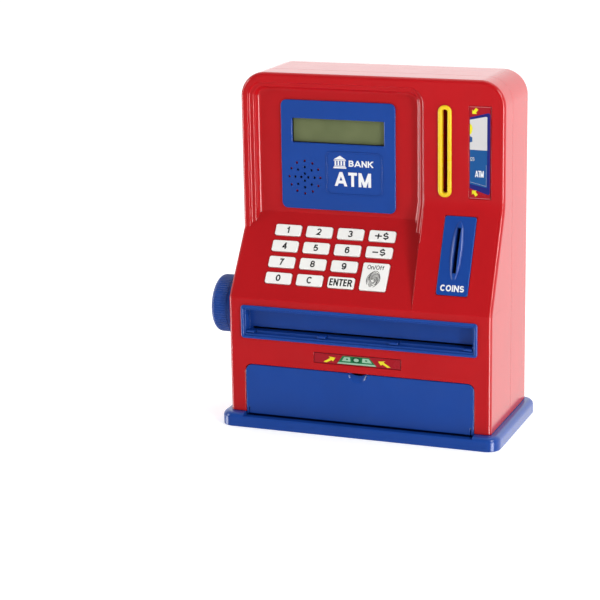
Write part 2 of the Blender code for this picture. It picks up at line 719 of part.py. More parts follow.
def roller(name, x, height, inner, outer, material):
    centre = (x, at(SHAFT_DEPTH), height)
    half = ROLLER_LENGTH / 2
    body = rod((x - half, centre[1], height), (x + half, centre[1], height), outer, 24)
    solid = place(body, name, material, centre)
    hole = rod((x - half - 0.01, centre[1], height), (x + half + 0.01, centre[1], height), inner, 14)
    cut(solid, as_cutter(hole, f"{name}_hole"))


def make_feed_drive():
    axis_y = at(SHAFT_DEPTH)
    shaft = rod((-0.1125, axis_y, SHAFT_HEIGHT), (0.0905, axis_y, SHAFT_HEIGHT), SHAFT_RADIUS, 18)
    place(shaft, "feed_shaft", STEEL, (0, axis_y, SHAFT_HEIGHT))
    for side, label in ((-1, "left"), (1, "right")):
        x = side * ROLLER_X
        roller(f"feed_roller_{label}", x, SHAFT_HEIGHT, SHAFT_RADIUS + GAP, FEED_ROLLER_RADIUS, RUBBER)
        roller(f"pinch_roller_{label}", x, PINCH_HEIGHT, PINCH_PIN + GAP, PINCH_RADIUS, RUBBER)
    pinch = rod((-0.0725, axis_y, PINCH_HEIGHT), (0.0725, axis_y, PINCH_HEIGHT), PINCH_PIN, 14)
    place(pinch, "pinch_shaft", STEEL, (0, axis_y, PINCH_HEIGHT))
    washer = rod((0.0872, axis_y, SHAFT_HEIGHT), (0.0880, axis_y, SHAFT_HEIGHT), 0.0055, 16)
    clip = place(washer, "shaft_clip", STEEL, (0.0876, axis_y, SHAFT_HEIGHT))
    bore = rod((0.08, axis_y, SHAFT_HEIGHT), (0.1, axis_y, SHAFT_HEIGHT), SHAFT_RADIUS + GAP, 18)
    gate = box((0.08, axis_y - 0.0020, SHAFT_HEIGHT), (0.1, axis_y + 0.0020, SHAFT_HEIGHT + 0.01))
    cut(clip, as_cutter(bore, "shaft_clip_bore"), as_cutter(gate, "shaft_clip_gate"))


def make_knob():
    """A ribbed grip with a domed outer edge and a collar that runs in the side wall."""
    centre = (-HALF_WIDTH, at(SHAFT_DEPTH), SHAFT_HEIGHT)
    near = -0.0012
    far = near - KNOB_THICKNESS
    ribs = 44
    profile = [
        (near, 0.955), (near - 0.0028, 0.955), (near - 0.0034, 1.0),
        (far + 0.0042, 1.0), (far + 0.0012, 0.93), (far, 0.80),
    ]
    mesh_work = bmesh.new()
    rings = []
    for x, scale in profile:
        ring = []
        for i in range(2 * ribs):
            flute = 0.985 if i % 2 and scale > 0.96 else 1.0
            angle = math.tau * i / (2 * ribs)
            radius = KNOB_RADIUS * scale * flute
            spoke = (x, radius * math.cos(angle), radius * math.sin(angle))
            ring.append(mesh_work.verts.new(Vector(centre) + Vector(spoke)))
        rings.append(ring)
    bridge_rings(mesh_work, rings)
    knob = place(mesh_work, "knob", BLUE, centre)
    axis_y, axis_z = centre[1:]
    collar_ends = ((centre[0] + near - 0.001, axis_y, axis_z), (centre[0] + 0.0045, axis_y, axis_z))
    join(knob, as_cutter(rod(*collar_ends, 0.0048, 16), "knob_collar"))
    bore_ends = ((centre[0] - 0.0128, axis_y, axis_z), (centre[0] + 0.02, axis_y, axis_z))
    bore = rod(*bore_ends, SHAFT_RADIUS + GAP, 18)
    cut(knob, as_cutter(bore, "knob_bore"))


# Screen panel and electronics
def make_screen_panel():
    plate = round_box(
        (PANEL_LOW[0], at(SCREEN_DEPTH - GAP - PANEL_THICKNESS), PANEL_LOW[1]),
        (PANEL_HIGH[0], at(SCREEN_DEPTH - GAP), PANEL_HIGH[1]),
        0.0045, "y", 4,
    )
    panel = place(plate, "screen_panel", BLUE)
    window = box(
        (DISPLAY_LOW[0], at(SCREEN_DEPTH - 0.01), DISPLAY_LOW[1]),
        (DISPLAY_HIGH[0], at(SCREEN_DEPTH + 0.01), DISPLAY_HIGH[1]),
    )
    holes = bmesh.new()
    for count, radius in ((4, 0.0027), (8, 0.0075), (12, 0.0121)):
        for i in range(count):
            angle = math.tau * i / count
            x = SPEAKER_X + radius * math.cos(angle)
            z = SPEAKER_HEIGHT + radius * math.sin(angle)
            rod((x, at(SCREEN_DEPTH - 0.01), z), (x, at(SCREEN_DEPTH + 0.01), z), 0.00095, 6, holes)
    cut(panel, as_cutter(window, "display_window"), as_cutter(holes, "speaker_holes"))


def make_electronics():
    front = SCREEN_DEPTH + GAP
    low = (DISPLAY_LOW[0] - 0.0010, DISPLAY_LOW[1] - 0.0010)
    high = (DISPLAY_HIGH[0] + 0.0010, DISPLAY_HIGH[1] + 0.0010)

    def layer(start, end, inset):
        return box((low[0] + inset, at(start), low[1] + inset), (high[0] - inset, at(end), high[1] - inset))

    holder = place(layer(front, front + 0.0058, 0), "display_holder", BLACK)
    cut(holder, as_cutter(layer(front - 0.01, front + 0.0042, 0.0010), "display_holder_well"))
    place(layer(front + 0.0012, front + 0.0039, 0.0014), "display", OLIVE)

    inner = SCREEN_DEPTH + WALL + GAP

    def disc(start, end, radius, sides, end_radius=None):
        ends = ((SPEAKER_X, at(inner + start), SPEAKER_HEIGHT), (SPEAKER_X, at(inner + end), SPEAKER_HEIGHT))
        return rod(*ends, radius, sides, end_radius=end_radius)

    speaker = place(disc(0, 0.0035, 0.0140, 24), "speaker", BLACK)
    join(speaker, as_cutter(disc(0.0030, 0.0062, 0.0070, 16), "speaker_magnet"))
    cut(speaker, as_cutter(disc(-0.0010, 0.0022, 0.0125, 24, 0.0040), "speaker_cone"))

    board = box((-0.0720, at(0.0494), 0.1640), (0.0150, at(0.0510), 0.2300))
    chip = round_box((-0.0350, at(0.0478), 0.1900), (-0.0230, at(0.0496), 0.2020), 0.0010, "y", 1)
    main_board = place(board, "main_board", GREEN)
    join(main_board, as_cutter(chip, "sound_chip"))


def make_keypad():
    for name, column, row, rows in key_cells():
        x, up, half = key_centre(column, row, rows)
        wide = KEY_WIDTH / 2
        cap = round_box((x - wide, up - half, KEY_BOTTOM), (x + wide, up + half, KEY_PROUD), 0.0014, "z", 2)
        crown = [edge for edge in cap.edges if min(v.co.z for v in edge.verts) > KEY_PROUD - 1e-6]
        bmesh.ops.bevel(cap, geom=crown, offset=0.0004, segments=1, affect="EDGES")
        key = place(cap, name, WHITE, (x, up, 0), KEYPAD)
        flange = box(
            (x - wide - KEY_FLANGE, up - half - KEY_FLANGE, KEY_BOTTOM - 0.0001),
            (x + wide + KEY_FLANGE, up + half + KEY_FLANGE, -WALL - GAP),
        )
        join(key, as_cutter(flange, f"{name}_flange", KEYPAD))
    left = KEY_FIRST_X - 0.0130
    right = KEY_FIRST_X + 3 * KEY_PITCH_X + 0.0130
    low = KEY_FIRST_UP - 0.0075
    high = KEY_FIRST_UP + 3 * KEY_PITCH_UP + 0.0075
    place(box((left, low, -0.0068), (right, high, -0.0057)), "keypad_membrane", RUBBER, parent=KEYPAD)
    place(box((left, low, -0.0087), (right, high, -0.0071)), "keypad_board", GREEN, parent=KEYPAD)


# Card slot
def make_card_slot():
    low = (CARD_X - CARD_GAP / 2, CARD_LOW)
    high = (CARD_X + CARD_GAP / 2, CARD_HIGH)
    rim = 0.0033
    sections = []
    for depth, grow in ((-GAP, rim), (-0.0010, rim), (-0.0018, rim - 0.0008)):
        corners = ((low[0] - grow, low[1] - grow), (high[0] + grow, high[1] + grow))
        outline = rounded_outline(*corners, CARD_GAP / 2 + grow - 0.0002, 4)
        sections.append((at(UPPER_SETBACK + depth), outline))
    bezel = place(loft(sections), "card_slot_bezel", YELLOW)

    def channel(start, end, grow):
        return box((low[0] - grow, at(start), low[1] - grow), (high[0] + grow, at(end), high[1] + grow))

    sleeve = channel(UPPER_SETBACK - 0.0006, UPPER_SETBACK + WALL + 0.0002, 0.0012)
    hole = channel(UPPER_SETBACK - 0.01, UPPER_SETBACK + 0.01, 0)
    join(bezel, as_cutter(sleeve, "card_bezel_sleeve"))
    cut(bezel, as_cutter(hole, "card_bezel_hole"))

    start = UPPER_SETBACK + WALL + 2 * GAP
    end = 0.0830
    wall = 0.0014
    outside = high[0] + wall
    lever_x = outside + 0.0035
    lever_y = at(0.0690)
    tube = place(channel(start, end, wall), "card_guide", RED)
    ears = bmesh.new()
    for z in (0.2240, 0.2310):
        box((outside - 0.0005, at(0.0650), z), (outside + 0.0060, at(0.0730), z + 0.0020), ears)
    window = box((high[0] - 0.001, at(0.0700), 0.2255), (outside + 0.001, at(end + 0.01), 0.2315))
    pin = rod((lever_x, lever_y, 0.20), (lever_x, lever_y, 0.24), LEVER_PIN + GAP, 12)
    join(tube, as_cutter(ears, "card_guide_ears"))
    cut(tube, as_cutter(channel(start - 0.01, end + 0.01, 0), "card_guide_bore"))
    cut(tube, as_cutter(window, "card_guide_window"), as_cutter(pin, "card_pin_holes"))

    hub = rod((lever_x, lever_y, 0.2264), (lever_x, lever_y, 0.2306), 0.0022, 14)
    lever = place(hub, "card_switch_lever", YELLOW, (lever_x, lever_y, 0.2285))
    stub = rod((lever_x, lever_y, 0.2246), (lever_x, lever_y, 0.2326), LEVER_PIN, 12)
    reach = 0.0120
    side_view = [
        (lever_y + 0.0010, 0.2270), (lever_y + reach, 0.2270),
        (lever_y + reach, 0.2300), (lever_y + 0.0010, 0.2300),
    ]

    def arm_side(offset):
        return lambda y, z: lever_x + offset - 0.47 * (y - lever_y)

    arm = prism(side_view, arm_side(-0.0002), arm_side(0.0012))
    join(lever, as_cutter(arm, "card_lever_arm"), as_cutter(stub, "card_lever_stub"))


# Coin slot
def make_coin_slot():
    low, high = COIN_PLATE_UP
    half = COIN_PLATE_WIDTH / 2
    plate = round_box((COIN_X - half, low, -0.0007), (COIN_X + half, high, 0.0006), 0.0018, "z", 3)
    plate = place(plate, "coin_slot_plate", BLUE, (COIN_X, low, 0), COLUMN)
    plug = box((COIN_X - 0.0092, 0.0174, -0.0042), (COIN_X + 0.0092, 0.0666, -0.0002))
    lips = bmesh.new()
    lip_size = (0.0046, 0.0230, 0.0014)
    lip_centre = (COIN_X, sum(COIN_SLOT_UP) / 2, 0.0004)
    bmesh.ops.create_uvsphere(
        lips, u_segments=16, v_segments=8, radius=1.0,
        matrix=Matrix.Translation(lip_centre) @ Matrix.Diagonal((*lip_size, 1.0)),
    )
    slot = box(
        (COIN_X - COIN_SLOT_WIDTH / 2, COIN_SLOT_UP[0], -0.01),
        (COIN_X + COIN_SLOT_WIDTH / 2, COIN_SLOT_UP[1], 0.01),
    )
    join(plate, as_cutter(plug, "coin_plate_plug", COLUMN), as_cutter(lips, "coin_lips", COLUMN))
    cut(plate, as_cutter(slot, "coin_slot", COLUMN))


def make_coin_chute():
    """A channel down and back from the coin slot that opens downwards, and the lever each coin pushes."""
    inner = COIN_SLOT_WIDTH / 2 + 0.0004
    thick = 0.0014
    side_view = [
        (at(0.0165), 0.1235), (at(0.0560), 0.1020), (at(0.0560), 0.0960), (at(0.0860), 0.0960),
        (at(0.0860), 0.1280), (at(0.0560), 0.1600), (at(0.0330), 0.1600),
    ]
    hollow = [
        (at(0.0050), 0.1313), (at(0.0579), 0.1027), (at(0.0579), 0.0900), (at(0.0840), 0.0900),
        (at(0.0840), 0.1268), (at(0.0548), 0.1580), (at(0.0200), 0.1580),
    ]
    chute = prism(side_view, COIN_X - inner - thick, COIN_X + inner + thick)
    chute = place(chute, "coin_chute", BLACK)
    channel = prism(hollow, COIN_X - inner, COIN_X + inner)
    window = box((COIN_X + inner - 0.001, at(0.0600), 0.1010), (COIN_X + inner + 0.005, at(0.0780), 0.1070))
    outside = COIN_X + inner + thick
    lever_y = at(0.0680)
    lever_z = 0.1105
    ears = bmesh.new()
    for x in (outside - 0.0005, outside + 0.0048):
        box((x, at(0.0645), 0.1085), (x + 0.0020, at(0.0715), 0.1150), ears)
    bridge = box((outside - 0.0005, at(0.0645), 0.1135), (outside + 0.0068, at(0.0715), 0.1150))
    pin_hole = rod((outside + 0.0004, lever_y, lever_z), (0.095, lever_y, lever_z), LEVER_PIN + GAP, 12)
    join(chute, as_cutter(ears, "coin_chute_ears"), as_cutter(bridge, "coin_chute_bridge"))
    cut(chute, as_cutter(channel, "coin_channel"), as_cutter(window, "coin_window"))
    cut(chute, as_cutter(pin_hole, "coin_pin_holes"))

    lever_x = outside + 0.0031
    hub = rod((lever_x - 0.0013, lever_y, lever_z), (lever_x + 0.0013, lever_y, lever_z), 0.0020, 14)
    lever = place(hub, "coin_lever", YELLOW, (lever_x, lever_y, lever_z))
    thin = 0.0010
    arm = box((lever_x - thin, lever_y - thin, 0.1030), (lever_x + thin, lever_y + thin, lever_z - 0.0012))
    tip = box((COIN_X - inner + 0.0006, lever_y - thin, 0.1026), (lever_x + thin, lever_y + thin, 0.1046))
    stub = rod((outside + 0.0008, lever_y, lever_z), (outside + 0.0060, lever_y, lever_z), LEVER_PIN, 12)
    join(lever, as_cutter(arm, "coin_lever_arm"), as_cutter(tip, "coin_lever_tip"))
    join(lever, as_cutter(stub, "coin_lever_stub"))


# Shelf, battery parts, labels and fasteners
def make_shelf():
    """Keeps the coins and bills away from the electronics, with a hole for the coin chute."""
    sheet = box((-0.0970, at(0.0440), 0.0925), (0.0970, at(0.0925), 0.0943))
    shelf = place(sheet, "electronics_shelf", BLACK)
    hole = box((COIN_X - 0.0045, at(0.0560), 0.08), (COIN_X + 0.0045, at(0.0870), 0.11))
    cut(shelf, as_cutter(hole, "shelf_hole"))


def spring(name, base, length, radius, turns):
    """A conical coil of wire along X from its base, as a curve."""
    points = []
    steps = 8 * turns
    for i in range(steps + 1):
        part = i / steps
        angle = math.tau * turns * part
        wide = radius * (1 - 0.55 * part)
        step = (length * part, wide * math.cos(angle), wide * math.sin(angle))
        points.append(Vector(base) + Vector(step))
    curve = bpy.data.curves.new(name, "CURVE")
    curve.dimensions = "3D"
    curve.bevel_depth = 0.0003
    curve.bevel_resolution = 1
    curve.use_fill_caps = True
    line = curve.splines.new("POLY")
    line.points.add(len(points) - 1)
    for point, place_at in zip(line.points, points):
        point.co = (*place_at, 1.0)
    return curve


def curve_to_bmesh(curve, mesh_work):
    """Adds a curve's tube to a bmesh, with its caps welded."""
    guide = bpy.data.objects.new(curve.name, curve)
    CUTTERS.objects.link(guide)
    bpy.context.view_layer.update()
    graph = bpy.context.evaluated_depsgraph_get()
    mesh = bpy.data.meshes.new_from_object(guide.evaluated_get(graph))
    mesh_work.from_mesh(mesh)
    bmesh.ops.remove_doubles(mesh_work, verts=mesh_work.verts, dist=1e-7)
    bpy.data.objects.remove(guide)
    bpy.data.meshes.remove(mesh)
    bpy.data.curves.remove(curve)


def make_battery_parts():
    (left, low), (right, high) = BATTERY_LOW, BATTERY_HIGH
    rows = 3
    pitch = (high - low) / rows
    depth = BODY_DEPTH - BATTERY_DEPTH / 2 - 0.001

    def contact(name, side, rows, spring_row):
        """A plate across one or two cells, with a coil at one of them."""
        end = left if side < 0 else right
        reach = 0.0045
        near, far = sorted((end - side * GAP, end - side * (GAP + 0.0004)))
        bottom = low + pitch * (rows[0] + 0.5) - reach
        top = low + pitch * (rows[-1] + 0.5) + reach
        plate = place(box((near, at(depth - reach), bottom), (far, at(depth + reach), top)), name, STEEL)
        if spring_row is None:
            return
        coil = bmesh.new()
        start = (end - side * (GAP + 0.0002), at(depth), low + pitch * (spring_row + 0.5))
        curve_to_bmesh(spring("contact_spring", start, -side * 0.0060, 0.0034, 3), coil)
        join(plate, as_cutter(coil, f"{name}_coil"))

    contact("battery_contact_negative", -1, (0,), 0)
    contact("battery_contact_left_pair", -1, (1, 2), 2)
    contact("battery_contact_right_pair", 1, (0, 1), 1)
    contact("battery_contact_positive", 1, (2,), None)

    cover = round_box(
        (left - COVER_MARGIN, at(BODY_DEPTH - 0.0020), low - COVER_MARGIN),
        (right + COVER_MARGIN, at(BODY_DEPTH - 0.0002), high + COVER_HEAD),
        0.0015, "y", 2,
    )
    cover = place(cover, "battery_cover", RED, (0, at(BODY_DEPTH), (low + high) / 2))
    grips = bmesh.new()
    for i in range(5):
        z = low + 0.004 + 0.0025 * i
        box((-0.009, at(BODY_DEPTH - 0.0008), z), (0.009, at(BODY_DEPTH + 0.0010), z + 0.0010), grips)
    outside = (0, at(BODY_DEPTH + 0.01), COVER_SCREW_HEIGHT)
    hole = rod((0, at(BODY_DEPTH - 0.01), COVER_SCREW_HEIGHT), outside, SCREW_HOLE, 12)
    sink = rod((0, at(BODY_DEPTH - 0.0011), COVER_SCREW_HEIGHT), outside, 0.0031, 14)
    join(cover, as_cutter(grips, "battery_grips"))
    cut(cover, as_cutter(hole, "battery_cover_hole"), as_cutter(sink, "battery_cover_sink"))

    screw = bmesh.new()
    top = (0, at(BODY_DEPTH - 0.0001), COVER_SCREW_HEIGHT)
    add_screw(screw, top, (0, -1, 0), 0.0007, 0.0027, 0.0072)
    place(screw, "battery_cover_screw", STEEL, top)


def add_screw(mesh_work, top, direction, head_height, head_radius, length):
    """A pan head and its shank as one turned ring stack, pointing along direction."""
    turn = Vector(direction).to_track_quat("Z", "Y").to_matrix()
    sides = 12
    stack = [
        (0, head_radius * 0.8), (head_height * 0.4, head_radius), (head_height, head_radius),
        (head_height, SCREW_RADIUS), (length - 0.0012, SCREW_RADIUS), (length, SCREW_RADIUS * 0.4),
    ]
    rings = []
    for along, radius in stack:
        ring = []
        for i in range(sides):
            angle = math.tau * i / sides
            spoke = Vector((radius * math.cos(angle), radius * math.sin(angle), along))
            ring.append(mesh_work.verts.new(Vector(top) + turn @ spoke))
        rings.append(ring)
    bridge_rings(mesh_work, rings)


def make_fasteners():
    for height, level in zip(BOSS_STARTS, ("lower", "upper")):
        for side, hand in ((-1, "left"), (1, "right")):
            screw = bmesh.new()
            top = (side * BOSS_X, at(SEAM_DEPTH + 0.0052), height)
            add_screw(screw, top, (0, -1, 0), 0.0019, 0.0028, 0.0140)
            place(screw, f"housing_screw_{level}_{hand}", STEEL, top)
    for x, depth in base_screw_places():
        screw = bmesh.new()
        top = (x, at(depth), 0.0018)
        add_screw(screw, top, (0, 0, 1), 0.0019, 0.0030, 0.0180)
        row = "front" if depth < BODY_DEPTH / 2 else "rear"
        hand = "left" if x < 0 else "right"
        place(screw, f"base_screw_{row}_{hand}", STEEL, top)


def make_labels():
    card = box(
        (CARD_LABEL_X - 0.0080, at(UPPER_SETBACK + 0.0001), 0.1745),
        (CARD_LABEL_X + 0.0080, at(UPPER_SETBACK + 0.00035), 0.2407),
    )
    place(card, "card_label", PAPER)
    bill = box((-0.0334, at(0.0001), 0.0531), (0.0330, at(0.00035), 0.0607))
    place(bill, "bill_label", PAPER)


make_front_housing()
make_rear_housing()
make_base()
make_door()
make_bill_slot_bezel()
make_feed_frame()
make_feed_drive()
make_knob()
make_screen_panel()
make_electronics()
make_keypad()
make_card_slot()
make_coin_slot()
make_coin_chute()
make_shelf()
make_battery_parts()
make_fasteners()
make_labels()
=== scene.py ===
"""The finished look of the toy cash machine savings bank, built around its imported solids.

Metres, +Z up, the same frame as the solids: the front faces -Y. Each visible casting is modelled
here again with its fillets and draft, stands for its node, and rides on that node's body.
"""
import math

import bmesh
import bpy
from mathutils import Matrix, Vector


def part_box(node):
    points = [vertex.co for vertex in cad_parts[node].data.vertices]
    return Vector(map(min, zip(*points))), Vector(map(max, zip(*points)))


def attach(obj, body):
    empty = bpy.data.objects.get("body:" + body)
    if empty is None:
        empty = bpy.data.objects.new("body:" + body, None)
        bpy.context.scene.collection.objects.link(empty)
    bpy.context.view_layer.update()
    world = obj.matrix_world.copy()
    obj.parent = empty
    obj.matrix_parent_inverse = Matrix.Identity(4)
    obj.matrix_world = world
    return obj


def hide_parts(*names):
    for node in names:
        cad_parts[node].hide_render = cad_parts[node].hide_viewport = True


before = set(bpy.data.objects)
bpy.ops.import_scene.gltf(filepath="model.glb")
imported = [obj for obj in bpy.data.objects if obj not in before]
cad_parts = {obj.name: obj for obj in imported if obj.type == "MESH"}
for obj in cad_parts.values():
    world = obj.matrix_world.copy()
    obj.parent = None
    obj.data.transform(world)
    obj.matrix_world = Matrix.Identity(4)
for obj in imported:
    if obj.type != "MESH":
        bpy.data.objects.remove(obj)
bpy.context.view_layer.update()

# Sizes read from the solids
FRONT_LOW, FRONT_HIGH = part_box("front_housing")
BASE_LOW, BASE_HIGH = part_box("base")
DOOR_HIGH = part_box("door")[1]
BEZEL_LOW, BEZEL_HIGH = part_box("bill_slot_bezel")
PANEL_LOW, PANEL_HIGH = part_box("screen_panel")
KNOB_LOW, KNOB_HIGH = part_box("knob")
DISPLAY_LOW, DISPLAY_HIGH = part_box("display")
CARD_LOW, CARD_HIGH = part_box("card_label")
BILL_LOW, BILL_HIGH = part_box("bill_label")
COVER_LOW, COVER_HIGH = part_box("battery_cover")
SPEAKER_LOW, SPEAKER_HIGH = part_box("speaker")
SHAFT_LOW, SHAFT_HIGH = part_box("feed_shaft")

HALF = FRONT_HIGH.x
FRONT = FRONT_LOW.y
SEAM = FRONT_HIGH.y
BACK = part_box("rear_housing")[1].y
DEPTH = BACK - FRONT
TOP = FRONT_HIGH.z
BOTTOM = FRONT_LOW.z
SPEAKER = ((SPEAKER_LOW.x + SPEAKER_HIGH.x) / 2, (SPEAKER_LOW.z + SPEAKER_HIGH.z) / 2)
SHAFT_RADIUS = (SHAFT_HIGH.z - SHAFT_LOW.z) / 2
KNOB_CENTRE = Vector((-HALF, (KNOB_LOW.y + KNOB_HIGH.y) / 2, (KNOB_LOW.z + KNOB_HIGH.z) / 2))

# The castings' walls, corners and the fold lines of the front, seen from the side
CORNER = 0.0185
EDGE = 0.0030
WALL = 0.0025
GAP = 0.0003
RIDGE = 0.0976
BEND = 0.1680
SETBACK = 0.0320
KEYPAD_ANGLE = math.radians(55)
COLUMN_ANGLE = math.atan2(BEND - RIDGE, SETBACK)
RIDGE_ROUND = 0.0030
BEND_ROUND = 0.0300
KEYPAD_ROUND = 0.0016

# The column beside the keypad, and the sunken screen
COLUMN_LEFT = 0.0400
COLUMN_LEAN = 0.0014
WALL_DRAFT = 0.35
RECESS_LEFT = -0.0941
RECESS_TOP = 0.2520
RECESS_FOOT = 0.1000
FLOOR_DEPTH = 0.0400
COIN_X = 0.0692
CARD_SLOT = ((0.0542, 0.1777), (0.0582, 0.2376))

# Screws: (height, depth that the front post starts at) in the housing, then those under the base
HOUSING_SCREWS = ((0.057, 0.0012), (0.232, 0.0342))
HOUSING_SCREW_X = 0.0950
SCREW_PLACES = [(side * HOUSING_SCREW_X, height) for height, _ in HOUSING_SCREWS for side in (-1, 1)]
BASE_SCREW_X = 0.0943
BASE_SCREW_DEPTHS = (0.012, 0.084)
COVER_SCREW_HEIGHT = 0.2298
THREAD_RADIUS = 0.00175
POST_RADIUS = 0.0035

LEAST_RADIUS = 1e-5
SHARP_ANGLE = 32
KNOB_SHARP_ANGLE = 50


def at(depth):
    """World Y of a plane this far behind the front face."""
    return FRONT + depth


# Mesh helpers
def new_object(name, data):
    obj = bpy.data.objects.new(name, data)
    bpy.context.scene.collection.objects.link(obj)
    return obj


def new_mesh(work, name, *materials):
    """Turns bmesh work into a mesh whose faces look outward."""
    bmesh.ops.recalc_face_normals(work, faces=work.faces)
    mesh = bpy.data.meshes.new(name)
    work.to_mesh(mesh)
    work.free()
    for material in materials:
        mesh.materials.append(material)
    return mesh


def shade(mesh, angle):
    mesh.shade_smooth()
    mesh.set_sharp_from_angle(angle=math.radians(angle))


def place(work, name, *materials, matrix=None, angle=SHARP_ANGLE):
    """Makes an object from bmesh work, smooth except at edges sharper than the angle."""
    if matrix:
        bmesh.ops.transform(work, matrix=matrix, verts=work.verts)
    mesh = new_mesh(work, name, *materials)
    shade(mesh, angle)
    return new_object(name, mesh)


def combine(target, *steps, angle=SHARP_ANGLE):
    """Applies (operation, bmesh) Boolean steps to an object in turn, and keeps its materials."""
    for operation, work in steps:
        tool = place(work, "tool")
        modifier = target.modifiers.new("step", "BOOLEAN")
        modifier.operation = operation
        modifier.solver = "EXACT"
        modifier.object = tool
        modifier.material_mode = "INDEX"
        bpy.context.view_layer.update()
        graph = bpy.context.evaluated_depsgraph_get()
        result = bpy.data.meshes.new_from_object(target.evaluated_get(graph))
        target.modifiers.clear()
        old, target.data = target.data, result
        bpy.data.meshes.remove(old)
        bpy.data.objects.remove(tool)
    shade(target.data, angle)


def cut(target, *cutters):
    combine(target, *(("DIFFERENCE", cutter) for cutter in cutters))


def join(target, *additions):
    combine(target, *(("UNION", addition) for addition in additions))


def box(low, high, work=None):
    work = work or bmesh.new()
    low, high = Vector(low), Vector(high)
    size = Matrix.Diagonal((*(high - low), 1.0))
    bmesh.ops.create_cube(work, size=1.0, matrix=Matrix.Translation((low + high) / 2) @ size)
    return work


def rod(start, end, radius, sides=32, work=None):
    """A cylinder between two points."""
    work = work or bmesh.new()
    start, end = Vector(start), Vector(end)
    turn = (end - start).to_track_quat("Z", "Y").to_matrix().to_4x4()
    bmesh.ops.create_cone(
        work, cap_ends=True, segments=sides, radius1=radius, radius2=radius,
        depth=(end - start).length, matrix=Matrix.Translation((start + end) / 2) @ turn,
    )
    return work


def outline(low, high, radius, steps=8):
    """Points of a rounded rectangle from two corners, anticlockwise from its right side."""
    points = []
    radii = radius if isinstance(radius, tuple) else (radius,) * 4
    corners = (
        (high[0], high[1], -1, -1), (low[0], high[1], 1, -1),
        (low[0], low[1], 1, 1), (high[0], low[1], -1, 1),
    )
    for quarter, (x, z, to_x, to_z) in enumerate(corners):
        r = max(radii[quarter], LEAST_RADIUS)
        for step in range(steps + 1):
            angle = math.radians(90 * (quarter + step / steps))
            points.append((x + to_x * r + r * math.cos(angle), z + to_z * r + r * math.sin(angle)))
    return points


def skin(rings, closed=False, work=None):
    """Joins rings of points into a solid: with end caps, or round into a closed hoop."""
    work = work or bmesh.new()
    made = [[work.verts.new(point) for point in ring] for ring in rings]
    pairs = list(zip(made, made[1:])) + ([(made[-1], made[0])] if closed else [])
    for ring, following in pairs:
        for i in range(len(ring)):
            j = (i + 1) % len(ring)
            work.faces.new((ring[i], ring[j], following[j], following[i]))
    if not closed:
        work.faces.new(made[0])
        work.faces.new(reversed(made[-1]))
    return work


def grown(low, high, margin):
    """Two opposite corners of a rectangle, moved out by a margin."""
    return (low[0] - margin, low[1] - margin), (high[0] + margin, high[1] + margin)


def layered(low, high, radius, layers, steps=8, upright=False):
    """A rounded rectangle in X and Z, lofted along Y through (y, growth) layers.

    Upright keeps its foot level.
    """
    rings = []
    for y, grow in layers:
        radii = tuple(r + grow for r in radius) if isinstance(radius, tuple) else radius + grow
        foot = low[1] if upright else low[1] - grow
        points = outline((low[0] - grow, foot), (high[0] + grow, high[1] + grow), radii, steps)
        rings.append([(x, y, z) for x, z in points])
    return skin(rings)


def rounding(radius, steps=5):
    """(distance in, growth) pairs of a quarter round, from the face to where the side is straight."""
    turns = [math.pi / 2 * i / steps for i in range(steps + 1)]
    return [(radius * (1 - math.cos(turn)), -radius * (1 - math.sin(turn))) for turn in turns]


def fillet_layers(front, back, radius, steps=5):
    """Layers of a slab whose front edge is rounded."""
    return [(front + d, g) for d, g in rounding(radius, steps)] + [(back, 0)]


def top_layers(layers, face, radius, steps):
    """The given layers, then those of a rounded edge that ends at the face."""
    return layers + [(face - d, g) for d, g in reversed(rounding(radius, steps))]


def stacked(low, high, radius, layers, steps=8):
    """A rounded rectangle in X and Y lofted along Z through (z, growth) layers."""
    rings = []
    for z, grow in layers:
        rings.append([(x, y, z) for x, y in outline(*grown(low, high, grow), radius + grow, steps)])
    return skin(rings)


def flared_hole(low, high, corner, front, back, flare, steps=8):
    """A cutter whose mouth widens in a round, so that the edge it leaves is filleted."""
    layers = [(front - 0.002, flare)] + [(front + d, -g) for d, g in rounding(flare)] + [(back, 0)]
    return layered(low, high, corner, layers, steps)


def around(low, high, margin):
    """The (x, z) corners of a box seen from the front, moved out by a margin."""
    return grown(low.xz, high.xz, margin)


def prism(points, low_x, high_x):
    """A (y, z) outline extruded along X."""
    rings = [[(x, y, z) for y, z in points] for x in (low_x, high_x)]
    return skin(rings)


def bevel(work, edges, radius, steps):
    bmesh.ops.bevel(work, geom=edges, offset=radius, segments=steps, profile=0.5, affect="EDGES")


def sloped(angle):
    """The frame of a face that leans back from the ridge: X across, Y up the slope, Z outward."""
    return Matrix.Translation((0, FRONT, RIDGE)) @ Matrix.Rotation(angle, 4, "X")


KEYPAD = sloped(KEYPAD_ANGLE)
COLUMN = sloped(COLUMN_ANGLE)
UPRIGHT = Matrix.Rotation(math.radians(90), 4, "X")


# Materials
def nodes_for(material):
    material.use_nodes = True
    tree = material.node_tree
    return tree, tree.nodes["Principled BSDF"]


def feed(socket, value):
    """Links a socket to the input, or sets its value."""
    if isinstance(value, bpy.types.NodeSocket):
        socket.id_data.links.new(value, socket)
    else:
        socket.default_value = value


def dial(node, **values):
    """Sets a node's properties, or feeds its inputs by name with spaces as underscores."""
    for key, value in values.items():
        if hasattr(node, key):
            setattr(node, key, value)
        else:
            feed(node.inputs[key.replace("_", " ")], value)
    return node


def add(tree, kind, output, **values):
    """Adds a shader node and gives its output."""
    return dial(tree.nodes.new(f"ShaderNode{kind}"), **values).outputs[output]


def maths(tree, operation, *values, kind="Math", output="Value"):
    node = tree.nodes.new(f"ShaderNode{kind}")
    node.operation = operation
    for socket, value in zip(node.inputs, values):
        feed(socket, value)
    return node.outputs[output]


